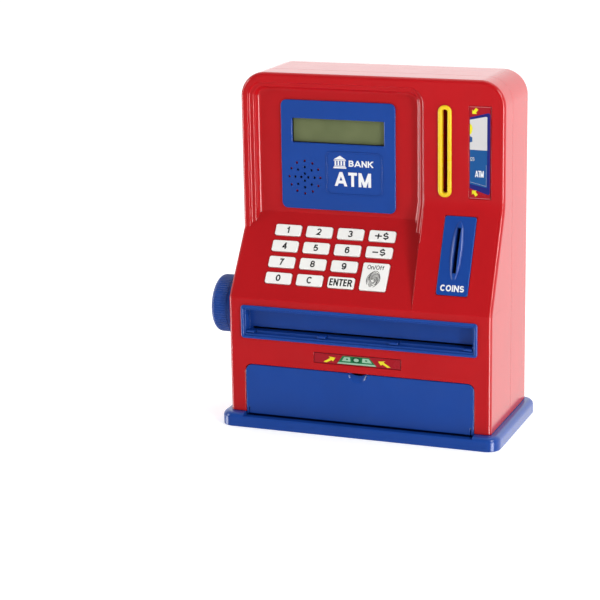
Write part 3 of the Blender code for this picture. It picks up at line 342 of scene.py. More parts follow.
def ramp(tree, source, *stops):
    """Two (position, colour) stops, driven by the source."""
    node = tree.nodes.new("ShaderNodeValToRGB")
    for element, (position, colour) in zip(node.color_ramp.elements, stops):
        element.position = position
        element.color = (*colour, 1)
    feed(node.inputs["Fac"], source)
    return node.outputs["Color"]


def scaled(colour, factor):
    return tuple(min(1, channel * factor) for channel in colour)


def moulded(name, colour, roughness, specular=0.3, grain=0.03, grain_scale=900, shift=0.06, eased=0.0004):
    """Injection-moulded plastic: slight colour drift, smudged sheen, a fine surface grain and eased edges."""
    material = bpy.data.materials.new(name)
    tree, shader = nodes_for(material)
    where = add(tree, "TexCoord", "Object")
    drift = add(tree, "TexNoise", "Fac", Vector=where, Scale=22.0, Detail=3.0, Roughness=0.55)
    smudge = add(tree, "TexNoise", "Fac", Vector=where, Scale=60.0, Detail=5.0, Roughness=0.65)
    sheen = add(
        tree, "MapRange", "Result", Value=smudge, From_Min=0.3, From_Max=0.7,
        To_Min=roughness * 0.85, To_Max=roughness * 1.2,
    )
    texture = add(tree, "TexNoise", "Fac", Vector=where, Scale=grain_scale, Detail=2.0)
    bump = dial(tree.nodes.new("ShaderNodeBump"), Height=texture, Strength=grain, Distance=0.0004)
    if eased:
        dial(bump, Normal=add(tree, "Bevel", "Normal", samples=4, Radius=eased))
    tint = ramp(tree, drift, (0.35, scaled(colour, 1 - shift)), (0.65, scaled(colour, 1 + shift)))
    dial(shader, Base_Color=tint, Roughness=sheen, Normal=bump.outputs["Normal"], Specular_IOR_Level=specular)
    material.diffuse_color = (*colour, 1)
    return material


def printed(name, colour, roughness=0.35):
    """Ink on film or on a key: nearly even colour with a faint mottle."""
    return moulded(name, colour, roughness, specular=0.25, grain=0.015, grain_scale=1500, shift=0.03, eased=0)


def brushed(name, colour, roughness):
    """Plated steel with fine drawn lines."""
    material = bpy.data.materials.new(name)
    tree, shader = nodes_for(material)
    where = add(tree, "TexCoord", "Object")
    stretched = add(tree, "Mapping", "Vector", Vector=where, Scale=(40, 2600, 2600))
    lines = add(tree, "TexNoise", "Fac", Vector=stretched, Scale=1.0, Detail=3.0)
    spread = add(tree, "MapRange", "Result", Value=lines, To_Min=roughness * 0.7, To_Max=roughness * 1.5)
    tint = ramp(tree, lines, (0.3, scaled(colour, 0.8)), (0.7, colour))
    dial(shader, Base_Color=tint, Roughness=spread, Metallic=1.0)
    return material


def lcd(name):
    """An unlit liquid-crystal display: olive, with a faint grid of dormant dots, under a glossy film."""
    material = bpy.data.materials.new(name)
    tree, shader = nodes_for(material)
    where = add(tree, "TexCoord", "Object")
    across, along = (
        add(tree, "TexWave", "Fac", Vector=where, bands_direction=axis, Scale=scale)
        for axis, scale in (("X", 700.0), ("Z", 520.0))
    )
    cloud = add(tree, "TexNoise", "Fac", Vector=where, Scale=45.0, Detail=2.0)
    dots = maths(tree, "MULTIPLY", across, along)
    both = maths(tree, "MULTIPLY_ADD", dots, 0.12, cloud)
    tint = ramp(tree, both, (0.30, (0.125, 0.152, 0.066)), (0.75, (0.165, 0.192, 0.086)))
    dial(
        shader, Base_Color=tint, Roughness=0.35, Specular_IOR_Level=0.2, Coat_Weight=0.15,
        Coat_Roughness=0.08,
    )
    return material


RED = moulded("red_plastic", (0.500, 0.0070, 0.0110), 0.14, specular=0.5, grain=0.012, shift=0.03)
BLUE = moulded("blue_plastic", (0.009, 0.060, 0.325), 0.18, specular=0.5, grain=0.015, shift=0.04)
KNOB_BLUE = moulded("knob_plastic", (0.012, 0.060, 0.310), 0.26, specular=0.4, grain=0.015, shift=0.04)
YELLOW = moulded("yellow_plastic", (0.880, 0.610, 0.018), 0.26, specular=0.35, grain=0.02)
KEY_WHITE = moulded(
    "key_rubber", (0.960, 0.960, 0.925), 0.55, specular=0.2, grain=0.06, grain_scale=1400, shift=0.02
)
BLACK = moulded("black_plastic", (0.012, 0.012, 0.014), 0.4, grain=0.05, shift=0.15)
DARK_RUBBER = moulded("dark_rubber", (0.022, 0.022, 0.024), 0.75, specular=0.2, grain=0.12, shift=0.2)
BOARD = moulded("circuit_board", (0.010, 0.120, 0.045), 0.35, grain=0.05, shift=0.25)
STEEL = brushed("plated_steel", (0.62, 0.61, 0.58), 0.24)
SCREEN = lcd("display_glass")
BLACK_INK = printed("black_ink", (0.010, 0.010, 0.012))
GREY_INK = printed("grey_ink", (0.055, 0.053, 0.052))
WHITE_INK = printed("white_ink", (0.860, 0.870, 0.880))
LABEL_RED = printed("label_red", (0.380, 0.006, 0.016), 0.28)
LABEL_EDGE = printed("label_edge", (0.120, 0.004, 0.010), 0.3)
LABEL_RIM = printed("label_rim", (0.620, 0.170, 0.180), 0.3)
LABEL_YELLOW = printed("label_yellow", (0.820, 0.740, 0.020))
LABEL_NAVY = printed("label_navy", (0.012, 0.016, 0.190))
LABEL_BLUE = printed("label_blue", (0.008, 0.090, 0.300))
LABEL_GREY = printed("label_grey", (0.640, 0.630, 0.630))
LABEL_GREEN = printed("label_green", (0.010, 0.180, 0.060))
LABEL_DARK_GREEN = printed("label_dark_green", (0.002, 0.090, 0.030))
LABEL_MINT = printed("label_mint", (0.330, 0.560, 0.400))


# Text and flat artwork
def bow(x, y, wide, tall, start, end, steps=10):
    """Points of an elliptical arc about (x, y), from a start to an end angle in degrees."""
    turns = [math.radians(start + (end - start) * i / steps) for i in range(steps + 1)]
    return [(x + wide * math.cos(turn), y + tall * math.sin(turn)) for turn in turns]


def ess(x, wide):
    """The letter S as one line, in a cell of height 1."""
    r = wide / 2
    return bow(x + r, 0.74, r * 0.92, 0.26, 25, 270, 14) + bow(x + r, 0.26, r, 0.26, 90, -155, 14)[1:]


# Each glyph: its width, then strokes in a cell of height 1
GLYPHS = {
    "0": (0.52, bow(0.26, 0.5, 0.26, 0.5, 0, 360, 28)),
    "1": (0.30, [(0.0, 0.72), (0.26, 0.88)], [(0.26, 0.0), (0.26, 1.0)]),
    "2": (0.52, bow(0.26, 0.74, 0.25, 0.26, 165, -20, 12) + [(0.40, 0.42), (0.0, 0.0), (0.52, 0.0)]),
    "3": (0.52, bow(0.25, 0.75, 0.23, 0.25, 160, -90, 12), bow(0.25, 0.25, 0.27, 0.25, 90, -160, 12)),
    "4": (0.56, [(0.40, 0.0), (0.40, 1.0)], [(0.38, 1.0), (0.02, 0.26), (0.58, 0.26)]),
    "5": (0.52, [(0.48, 1.0), (0.10, 1.0), (0.04, 0.52)] + bow(0.25, 0.31, 0.27, 0.31, 120, -150, 14)),
    "6": (0.52, bow(0.26, 0.32, 0.26, 0.32, 0, 360, 20),
          [(0.01, 0.36)] + bow(0.28, 0.60, 0.27, 0.40, 175, 35, 10)),
    "7": (0.50, [(0.0, 1.0), (0.50, 1.0), (0.30, 0.58), (0.18, 0.0)]),
    "8": (0.52, bow(0.26, 0.76, 0.22, 0.24, 0, 360, 20), bow(0.26, 0.27, 0.26, 0.27, 0, 360, 20)),
    "9": (0.52, bow(0.26, 0.68, 0.26, 0.32, 0, 360, 20),
          [(0.51, 0.64)] + bow(0.24, 0.40, 0.27, 0.40, -5, -145, 10)),
    "A": (0.76, [(0.0, 0.0), (0.34, 1.0)], [(0.76, 0.0), (0.42, 1.0)], [(0.12, 0.24), (0.64, 0.24)]),
    "B": (0.56, [(0.0, 0.0), (0.0, 1.0), (0.28, 1.0)] + bow(0.28, 0.77, 0.24, 0.23, 90, -90) + [(0.0, 0.54)],
          [(0.28, 0.54)] + bow(0.28, 0.27, 0.28, 0.27, 90, -90) + [(0.0, 0.0)]),
    "C": (0.60, bow(0.32, 0.5, 0.32, 0.5, 42, 318, 22)),
    "E": (0.48, [(0.48, 1.0), (0.0, 1.0), (0.0, 0.0), (0.48, 0.0)], [(0.0, 0.52), (0.44, 0.52)]),
    "I": (0.02, [(0.01, 0.0), (0.01, 1.0)]),
    "K": (0.58, [(0.0, 0.0), (0.0, 1.0)], [(0.54, 1.0), (0.02, 0.40)], [(0.20, 0.60), (0.58, 0.0)]),
    "M": (0.84, [(0.0, 0.0), (0.0, 1.0)], [(0.84, 0.0), (0.84, 1.0)], [(0.04, 1.0), (0.39, 0.0)],
          [(0.80, 1.0), (0.45, 0.0)]),
    "N": (0.60, [(0.0, 0.0), (0.0, 1.0)], [(0.60, 0.0), (0.60, 1.0)], [(0.02, 1.0), (0.58, 0.0)]),
    "O": (0.68, bow(0.34, 0.5, 0.34, 0.5, 0, 360, 30)),
    "R": (0.56, [(0.0, 0.0), (0.0, 1.0), (0.28, 1.0)] + bow(0.28, 0.75, 0.26, 0.25, 90, -90) + [(0.0, 0.50)],
          [(0.30, 0.50), (0.56, 0.0)]),
    "S": (0.54, ess(0, 0.54)),
    "T": (0.64, [(-0.06, 1.0), (0.70, 1.0)], [(0.32, 1.0), (0.32, 0.0)]),
    "n": (0.44, [(0.0, 0.0), (0.0, 0.70)],
          [(0.0, 0.40)] + bow(0.22, 0.44, 0.22, 0.24, 170, 0, 8) + [(0.44, 0.0)]),
    "f": (0.32, bow(0.30, 0.80, 0.18, 0.20, 80, 180, 6) + [(0.12, 0.0)], [(-0.04, 0.64), (0.32, 0.64)]),
    "/": (0.24, [(0.0, 0.0), (0.24, 1.0)]),
    "+": (0.62, [(-0.10, 0.46), (0.72, 0.46)], [(0.31, -0.02), (0.31, 0.94)]),
    "-": (0.54, [(-0.06, 0.46), (0.60, 0.46)]),
    "$": (0.54, ess(0, 0.54), [(0.27, -0.26), (0.27, 0.04)], [(0.27, 0.96), (0.27, 1.26)]),
}


MOST_MITRE = 0.42
STEEP = 0.5
LETTER_GAP = 0.05
GAP_PER_WEIGHT = 1.02
LETTER_STRETCH = 1.24
STROKE_STEP = 0.000004


def stroke(points, width, matrix, material, high, limit):
    """A line of even width with mitred corners, as a thin solid.

    A steep end that nearly reaches y = limit or -limit is cut level there.
    """
    sides = ([], [])
    last = len(points) - 1
    for i, point in enumerate(points):
        here = Vector(point)
        to = (Vector(points[min(i + 1, last)]) - here).normalized()
        since = (here - Vector(points[max(i - 1, 0)])).normalized()
        to, since = (to if to.length else since), (since if since.length else to)
        across = Vector((-to.y - since.y, to.x + since.x)).normalized()
        reach = width / 2 / max(across.dot(Vector((-to.y, to.x))), MOST_MITRE)
        for side, sign in zip(sides, (1, -1)):
            side.append(here + across * reach * sign)
    for end, inner in ((0, 1), (-1, -2)):
        along = (Vector(points[end]) - Vector(points[inner])).normalized()
        level = math.copysign(limit, points[end][1])
        if abs(along.y) > STEEP and abs(level - points[end][1]) < width * 0.51:
            for side in sides:
                side[end] = side[end] + along * ((level - side[end].y) / along.y)
    rings = [
        [matrix @ Vector((*p, z)) for p, z in ((left, 0), (left, high), (right, high), (right, 0))]
        for left, right in zip(*sides)
    ]
    return new_mesh(skin(rings), "stroke", material)


def words(text, height, weight, matrix, material, width=None, high=0.00006):
    """Plain sans-serif lettering of one weight about the matrix's origin. Width and height are overall."""
    tall = height - weight
    space = LETTER_GAP + GAP_PER_WEIGHT * weight / tall
    total = sum(GLYPHS[letter][0] for letter in text) + space * (len(text) - 1)
    scale = (width - weight) / total if width else tall * LETTER_STRETCH
    at_x = -total * scale / 2
    meshes = []
    for letter in text:
        glyph_width, *lines = GLYPHS[letter]
        for level, line in enumerate(lines):
            points = [(at_x + x * scale, (y - 0.5) * tall) for x, y in line]
            meshes.append(stroke(points, weight, matrix, material, high + level * STROKE_STEP, height / 2))
        at_x += (glyph_width + space) * scale
    return meshes


def flat(points, matrix, material, low=0.0, high=0.00005):
    """A polygon of (x, y) points as a thin solid on a plane."""
    rings = [[matrix @ Vector((x, y, z)) for x, y in points] for z in (low, high)]
    return new_mesh(skin(rings), "art", material)


def ribbon(points, width, matrix, material, low=0.0, high=0.00005, loop=False):
    """A thin band of even width along (x, y) points: a closed loop, or open and narrower at its ends."""
    left, right = [], []
    count = len(points)
    for i, (x, y) in enumerate(points):
        ax, ay = points[(i - 1) % count] if loop or i else points[i]
        bx, by = points[(i + 1) % count] if loop or i < count - 1 else points[i]
        length = math.hypot(bx - ax, by - ay) or 1
        nx, ny = -(by - ay) / length, (bx - ax) / length
        half = width / 2 if loop or 0 < i < count - 1 else width / 4
        left.append((x + nx * half, y + ny * half))
        right.append((x - nx * half, y - ny * half))
    if not loop:
        return flat(left + right[::-1], matrix, material, low, high)
    corners = ((left, low), (left, high), (right, high), (right, low))
    rings = [[matrix @ Vector((x, y, z)) for x, y in side] for side, z in corners]
    return new_mesh(skin(rings, closed=True), "band", material)


def bar(left, low, right, high):
    """The corners of a rectangle."""
    return [(left, low), (right, low), (right, high), (left, high)]


def gather(name, meshes):
    """Joins meshes into one object that keeps each one's material."""
    work = bmesh.new()
    materials = []
    for mesh in meshes:
        material = mesh.materials[0]
        if material not in materials:
            materials.append(material)
        first = len(work.faces)
        work.from_mesh(mesh)
        work.faces.ensure_lookup_table()
        for face in work.faces[first:]:
            face.material_index = materials.index(material)
        bpy.data.meshes.remove(mesh)
    return new_object(name, new_mesh(work, name, *materials))


def stands_for(obj, body, slot, *nodes):
    """Hands a piece over: its body and the CAD nodes that it is seen in place of. The slot is not used."""
    even = obj.modifiers.new("even_shading", "WEIGHTED_NORMAL")
    even.keep_sharp = True
    even.weight = 100
    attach(obj, body)
    if nodes:
        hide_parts(*nodes)


# Front housing
def rounded_path(points, radii, steps=8):
    """An open (depth, z) path with its inner corners rounded."""
    path = [points[0]]
    for before, corner, after, radius in zip(points, points[1:], points[2:], radii):
        before, corner, after = Vector(before), Vector(corner), Vector(after)
        back, on = (before - corner).normalized(), (after - corner).normalized()
        turn = math.pi - back.angle(on)
        reach = radius * math.tan(turn / 2)
        middle = corner + (back + on).normalized() * (radius / math.cos(turn / 2))
        start = corner + back * reach - middle
        side = 1 if start.x * on.y - start.y * on.x > 0 else -1
        for step in range(steps + 1):
            angle = side * turn * step / steps
            c, s = math.cos(angle), math.sin(angle)
            path.append((middle.x + start.x * c - start.y * s, middle.y + start.x * s + start.y * c))
    return path + [points[-1]]


def side_path(angle, inset, upper_round):
    """(depth, z) of the front in side view: upright, leaning back above the ridge, upright again."""
    shift = inset / math.sin(angle)
    fold_low = RIDGE + (inset - shift) * math.tan(angle)
    fold_high = RIDGE + (SETBACK + inset - shift) * math.tan(angle)
    foot = BOTTOM - 4 * inset
    corners = [(inset, foot), (inset, fold_low), (SETBACK + inset, fold_high), (SETBACK + inset, TOP)]
    return rounded_path(corners, (RIDGE_ROUND, upper_round))


def depth_of(path, z):
    for (d0, z0), (d1, z1) in zip(path, path[1:]):
        if z <= z1 and z1 > z0:
            return d0 + (d1 - d0) * max(z - z0, 0) / (z1 - z0)
    return path[-1][0]


# A column wall lower than the first is left out, and one lower than the second keeps a sharp edge
LEAST_WALL = 3e-5
LEAST_ROUNDED_WALL = 0.0016
FRONT_SHEETS = (
    ("left", "foot"), ("foot", "face"), ("face", "right"), ("right", "rear_right"), ("rear_left", "left"),
)


def front_row(work, z, deep, shallow, half, inset, back):
    """The vertices of the front's section at one height: deep over the keypad, shallow over the column."""
    edge = COLUMN_LEFT + COLUMN_LEAN * min(max((BEND - z) / (BEND - RIDGE), 0), 1) + inset
    wall = deep - shallow
    places = {
        "face": (edge, at(shallow)), "foot": (edge - WALL_DRAFT * wall, at(deep)),
        "left": (-half, at(deep)), "right": (half, at(shallow)),
        "rear_left": (-half, back), "rear_right": (half, back),
    }
    if wall <= LEAST_WALL:
        del places["foot"]
    row = {name: work.verts.new((x, y, z)) for name, (x, y) in places.items()}
    return {"foot": row["face"], **row, "wall": wall}


def front_solid(inset, back, rounded):
    """The front housing's outer form, or its hollow when inset: keypad on the left, column on the right."""
    half = HALF - inset
    corner = CORNER - inset
    shoulder = TOP - CORNER
    left = side_path(KEYPAD_ANGLE, inset, KEYPAD_ROUND)
    right = side_path(COLUMN_ANGLE, inset, BEND_ROUND)
    levels = sorted({round(z, 6) for _, z in left + right if z < shoulder - 1e-4} | {shoulder})
    work = bmesh.new()
    rows = [front_row(work, z, depth_of(left, z), depth_of(right, z), half, inset, back) for z in levels]
    for low, high in zip(rows, rows[1:]):
        for first, second in FRONT_SHEETS:
            ring = list(dict.fromkeys((low[first], low[second], high[second], high[first])))
            if len(ring) > 2:
                work.faces.new(ring)

    arcs = []
    for side, start, steps in ((1, 0, range(1, 19)), (-1, 90, range(18))):
        for step in steps:
            angle = math.radians(start + 5 * step)
            x = side * (half - corner) + corner * math.cos(angle)
            arcs.append((x, shoulder + corner * math.sin(angle)))
    front_arc = [work.verts.new((x, at(SETBACK + inset), z)) for x, z in arcs]
    rear_arc = [work.verts.new((x, back, z)) for x, z in arcs]
    top = rows[-1]
    chain = [top["right"]] + front_arc + [top["left"]]
    rear_chain = [top["rear_right"]] + rear_arc + [top["rear_left"]]
    work.faces.new(chain + [top["face"]])
    for i in range(len(chain) - 1):
        work.faces.new((chain[i], rear_chain[i], rear_chain[i + 1], chain[i + 1]))
    work.faces.new([rows[0][name] for name in ("left", "rear_left", "rear_right", "right", "face")])
    rear_sides = [[row[name] for row in rows] for name in ("rear_left", "rear_right")]
    work.faces.new(rear_sides[0] + rear_arc[::-1] + rear_sides[1][::-1])
    bmesh.ops.recalc_face_normals(work, faces=work.faces)
    if not rounded:
        return work

    def edges_of(verts):
        return [work.edges.get(pair) for pair in zip(verts, verts[1:])]

    walls = edges_of([row["face"] for row in rows if row["wall"] > LEAST_ROUNDED_WALL])
    sides = [[row[name] for row in rows] for name in ("left", "right")]
    rims = edges_of(sides[0] + front_arc[::-1] + sides[1][::-1])
    bevel(work, walls, 0.0011, 4)
    bevel(work, [edge for edge in rims if edge.is_valid], EDGE, 7)
    seam = [
        edge for edge in work.edges
        if all(abs(vert.co.y - back) < 1e-6 for vert in edge.verts)
        and max(vert.co.z for vert in edge.verts) > BOTTOM + 1e-4
    ]
    bevel(work, seam, 0.00015, 2)
    return work


def recess_outline(inset, corner, steps=8):
    """The sunken screen's outline: its right side follows the foot of the column's wall."""
    def side(z):
        shallow = SETBACK - (BEND - z) / math.tan(COLUMN_ANGLE)
        edge = COLUMN_LEFT + COLUMN_LEAN * (BEND - z) / (BEND - RIDGE)
        return edge - WALL_DRAFT * (SETBACK - shallow) - inset

    low, high = (RECESS_LEFT + inset, RECESS_FOOT), (COLUMN_LEFT - inset, RECESS_TOP - inset)
    upper_corners = outline(low, high, (corner, corner, 0, 0), steps)[:2 * (steps + 1)]
    return upper_corners + [low, (side(RECESS_FOOT), RECESS_FOOT), (side(BEND), BEND)]


# (depth, inset, corner) as the recess's edge rolls over, steps in, drops and rounds into its floor
RECESS_LAYERS = (
    (-0.0020, -0.0008, 0.0125), (0.0000, -0.0008, 0.0125), (0.0002, -0.0003, 0.0120),
    (0.0007, 0.0000, 0.0117), (0.0015, 0.0003, 0.0115), (0.0020, 0.0007, 0.0112),
    (0.0023, 0.0014, 0.0106), (0.0024, 0.0024, 0.0098), (0.0026, 0.0031, 0.0092),
    (0.0030, 0.0035, 0.0088), (0.0038, 0.0039, 0.0085), (0.0062, 0.0048, 0.0078),
    (0.0071, 0.0055, 0.0072), (0.0077, 0.0065, 0.0066), (0.0080, 0.0078, 0.0058),
)


def recess(grow):
    """The pocket behind the front's upper face, closed below by the keypad slope."""
    rings = []
    for depth, inset, corner in RECESS_LAYERS:
        y = at(SETBACK + depth + (grow if depth > 0 else 0))
        rings.append([(x, y, z) for x, z in recess_outline(inset - grow, corner + grow)])
    pocket = place(skin(rings), "pocket")
    shift = (grow - 0.00002) / math.sin(KEYPAD_ANGLE)
    under = [((z - RIDGE) / math.tan(KEYPAD_ANGLE) + shift, z) for z in (RIDGE - 0.05, RIDGE + 0.12)]
    under.append((under[1][0] + 0.01, under[0][1]))
    cut(pocket, prism([(at(d), z) for d, z in under], -0.15, 0.15))
    return as_bmesh(pocket)


def as_bmesh(obj):
    work = bmesh.new()
    work.from_mesh(obj.data)
    bpy.data.objects.remove(obj)
    return work


def screw_posts(depths, radius, low, high):
    """Upright cylinders at the base's screws, merged with the side walls."""
    work = bmesh.new()
    for depth in depths:
        for side in (-1, 1):
            x = side * BASE_SCREW_X
            rod((x, at(depth), low), (x, at(depth), high), radius, 24, work)
    return work


def rods_along_depth(places, start, end, radius, sides=24):
    work = bmesh.new()
    for x, z in places:
        rod((x, at(start), z), (x, at(end), z), radius, sides, work)
    return work


KEY_NAMES = ["key_0", "key_clear", "key_enter", "key_power", "key_subtract", "key_add"]
KEY_NAMES += [f"key_{digit}" for digit in range(1, 10)]
KEY_WIDTH = 0.0200
KEY_LENGTH = 0.0086
KEY_PITCH = 0.0127
KEY_CLEARANCE = 0.0004


def key_cells():
    """(name, x, place up the slope, half length) of every key on the keypad."""
    cells = []
    for name in KEY_NAMES:
        low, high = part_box(name)
        ends = [KEYPAD.inverted() @ Vector((low.x, end.y, end.z)) for end in (low, high)]
        half = (KEY_LENGTH + (KEY_PITCH if name == "key_power" else 0)) / 2
        cells.append((name, (low.x + high.x) / 2, (ends[0].y + ends[1].y) / 2, half))
    return cells


def on_face(matrix, *pieces):
    """The pieces, moved from a sloping face's own frame."""
    for work in pieces:
        bmesh.ops.transform(work, matrix=matrix, verts=work.verts)
    return pieces


def key_holes():
    holes = bmesh.new()
    for _, x, up, half in key_cells():
        wide, long = KEY_WIDTH / 2 + KEY_CLEARANCE, half + KEY_CLEARANCE
        hole = outline((x - wide, up - long), (x + wide, up + long), 0.0016, 4)
        skin([[(a, b, z) for a, b in hole] for z in (-0.006, 0.003)], work=holes)
    return holes


def wall_opening(corners, start, end):
    """A cutter through an upright wall, from its (x, z) corners."""
    (left, low), (right, high) = corners
    return box((left, at(start), low), (right, at(end), high))


def make_front_housing():
    shell = place(front_solid(0, SEAM, True), "front_housing_shell", RED)
    hollow = place(front_solid(WALL, SEAM + 0.01, False), "hollow")
    cut(hollow, recess(WALL))
    cut(shell, recess(0), as_bmesh(hollow))
    for height, start in HOUSING_SCREWS:
        places = [(side * HOUSING_SCREW_X, height) for side in (-1, 1)]
        join(shell, rods_along_depth(places, start, SEAM - FRONT - GAP, POST_RADIUS))
    front_depth = BASE_SCREW_DEPTHS[:1]
    join(shell, screw_posts(front_depth, POST_RADIUS, BOTTOM + 0.0006, 0.024))
    cut(shell, rods_along_depth(SCREW_PLACES, 0.0405, 0.0625, THREAD_RADIUS))
    cut(shell, screw_posts(front_depth, THREAD_RADIUS, BOTTOM - 0.002, 0.022))

    door_half = DOOR_HIGH.x + 0.0004
    doorway = flared_hole(
        (-door_half, -0.005), (door_half, DOOR_HIGH.z + 0.0004), (0.005, 0.005, 0, 0),
        FRONT, at(WALL + 0.004), 0.0006,
    )
    tray = box((-0.0884, at(-0.01), BEZEL_LOW.z + 0.0017), (0.0884, at(WALL + 0.004), BEZEL_HIGH.z - 0.0017))
    labels = [
        flared_hole(*around(low, high, 0.0003), 0.0006, face, face + 0.0006, 0.0002, 3)
        for low, high, face in ((BILL_LOW, BILL_HIGH, FRONT), (CARD_LOW, CARD_HIGH, at(SETBACK)))
    ]
    slot = wall_opening(grown(*CARD_SLOT, 0.0013), SETBACK - 0.01, SETBACK + 0.006)
    window = wall_opening(around(DISPLAY_LOW, DISPLAY_HIGH, 0.0012), FLOOR_DEPTH - 0.002, FLOOR_DEPTH + 0.006)
    sound = rods_along_depth([SPEAKER], FLOOR_DEPTH - 0.002, FLOOR_DEPTH + 0.006, 0.0095, 40)
    shaft = rod(KNOB_CENTRE - Vector((0.005, 0, 0)), KNOB_CENTRE + Vector((0.006, 0, 0)), 0.0052, 32)
    cut(shell, doorway, tray, *labels, slot, window, sound, shaft)

    coin = box((COIN_X - 0.0096, 0.0170, -0.006), (COIN_X + 0.0096, 0.0670, 0.002))
    seat = box((COIN_X - 0.0119, 0.0129, -0.0010), (COIN_X + 0.0119, 0.0709, 0.002))
    cut(shell, *on_face(KEYPAD, key_holes()), *on_face(COLUMN, coin, seat))
    stands_for(shell, "case", "red_plastic", "front_housing")


# Rear housing
def make_rear_housing():
    start = SEAM + 0.00012
    layers = top_layers([(start + d, g) for d, g in rounding(0.00015, 2)], BACK, 0.0030, 7)
    corners = (CORNER, CORNER, 0, 0)
    form = layered((-HALF, BOTTOM), (HALF, TOP), corners, layers, 18, upright=True)
    shell = place(form, "rear_housing_shell", RED)
    inner = layered(
        (-HALF + WALL, BOTTOM - 0.01), (HALF - WALL, TOP - WALL), (CORNER - WALL, CORNER - WALL, 0, 0),
        [(start - 0.01, 0), (BACK - WALL, 0)], 18,
    )
    seam = start - FRONT
    rear_depth = BASE_SCREW_DEPTHS[1:]
    cut(shell, inner)
    join(
        shell, rods_along_depth(SCREW_PLACES, seam + 0.0002, DEPTH - 0.001, 0.0042, 32),
        screw_posts(rear_depth, POST_RADIUS, BOTTOM + 0.0006, 0.024),
    )
    cut(
        shell, rods_along_depth(SCREW_PLACES, seam + 0.0029, DEPTH + 0.01, 0.0033, 32),
        rods_along_depth(SCREW_PLACES, seam - 0.01, seam + 0.005, THREAD_RADIUS),
        screw_posts(rear_depth, THREAD_RADIUS, BOTTOM - 0.002, 0.022),
    )
    battery_well(shell)
    stands_for(shell, "case", "red_plastic", "rear_housing")


def battery_well(shell):
    """The box that holds the cells, its ledge, the cover's seat and the post of the cover's screw."""
    half, low, high = 0.031, 0.176, 0.224
    inside = DEPTH - 0.0175
    outside = at(DEPTH - 0.001)
    thick = 0.0016
    case = box((-half - thick, at(inside - thick), low - thick), (half + thick, outside, high + thick))
    ledge = box((-half - 0.006, at(DEPTH - 0.005), low - 0.006), (half + 0.006, outside, high + 0.0135))
    well = box((-half, at(inside), low), (half, at(DEPTH + 0.01), high))
    rim = [(BACK - 0.0004, 0), (BACK - 0.00012, 0.00012), (BACK, 0.0004), (BACK + 0.01, 0.0004)]
    seat = layered(*around(COVER_LOW, COVER_HIGH, GAP), 0.0016, [(at(DEPTH - 0.0023), 0), *rim], 4)
    screw = [(0, COVER_SCREW_HEIGHT)]
    join(shell, case, ledge)
    cut(shell, well, seat)
    join(shell, rods_along_depth(screw, DEPTH - 0.012, DEPTH - 0.004, 0.0030))
    cut(shell, rods_along_depth(screw, DEPTH - 0.010, DEPTH + 0.010, THREAD_RADIUS))


# Base and door
BASE_HEIGHT = 0.0105
HINGE_DEPTH = 0.0052
HINGE_HEIGHT = 0.0144


def make_base():
    layers = top_layers(rounding(0.0007, 3), BASE_HEIGHT, 0.0042, 9)
    form = stacked((BASE_LOW.x, BASE_LOW.y), (BASE_HIGH.x, BASE_HIGH.y), 0.0100, layers, 12)
    base = place(form, "base_plinth", BLUE)
    cut(
        base, box((-0.0880, BASE_LOW.y - 0.001, 0.0082), (0.0880, at(0.0075), 0.02)),
        box((-0.0880, at(-0.0006), 0.0066), (0.0880, at(0.0112), 0.02)),
        box((-0.0850, at(0.0075), 0.0030), (0.0850, at(DEPTH - 0.005), 0.02)),
    )
    axis = at(HINGE_DEPTH)
    posts, reaches, eyes, holes, wells = (bmesh.new() for _ in range(5))
    for side in (-1, 1):
        low, high = sorted((side * 0.0800, side * 0.0825))
        box((low, at(0.0114), 0.0020), (high, at(0.0139), HINGE_HEIGHT + 0.0023), posts)
        rod((low, axis, HINGE_HEIGHT), (high, axis, HINGE_HEIGHT), 0.0024, 28, eyes)
        rod((low - 0.001, axis, HINGE_HEIGHT), (high + 0.001, axis, HINGE_HEIGHT), 0.0014, 20, holes)
        arm_low = (low + 0.0001, axis + 0.0016, HINGE_HEIGHT - 0.0013)
        box(arm_low, (high - 0.0001, at(0.0120), HINGE_HEIGHT + 0.0018), reaches)
        x = side * BASE_SCREW_X
        for depth in BASE_SCREW_DEPTHS:
            rod((x, at(depth), -0.01), (x, at(depth), 0.0040), 0.0036, 28, wells)
    join(base, posts, eyes, reaches)
    cut(base, wells, screw_posts(BASE_SCREW_DEPTHS, THREAD_RADIUS, -0.01, 0.02), holes)
    stands_for(base, "case", "blue_plastic", "base")


def finger_scoop():
    """A round notch in the door's top edge, wider and higher with depth."""
    sections = []
    turns = [math.tau * i / 72 for i in range(72)]
    for depth, flare in ((-0.0006, 0.0005), (0, 0.0005), (0.0002, 0.0002), (0.0005, 0), (0.0030, 0)):
        radius = 0.0072 + flare + 1.72 * depth
        height = DOOR_HIGH.z + 0.0003 + 3.84 * depth
        sections.append([(radius * math.cos(t), at(depth), height + radius * math.sin(t)) for t in turns])
    return skin(sections)


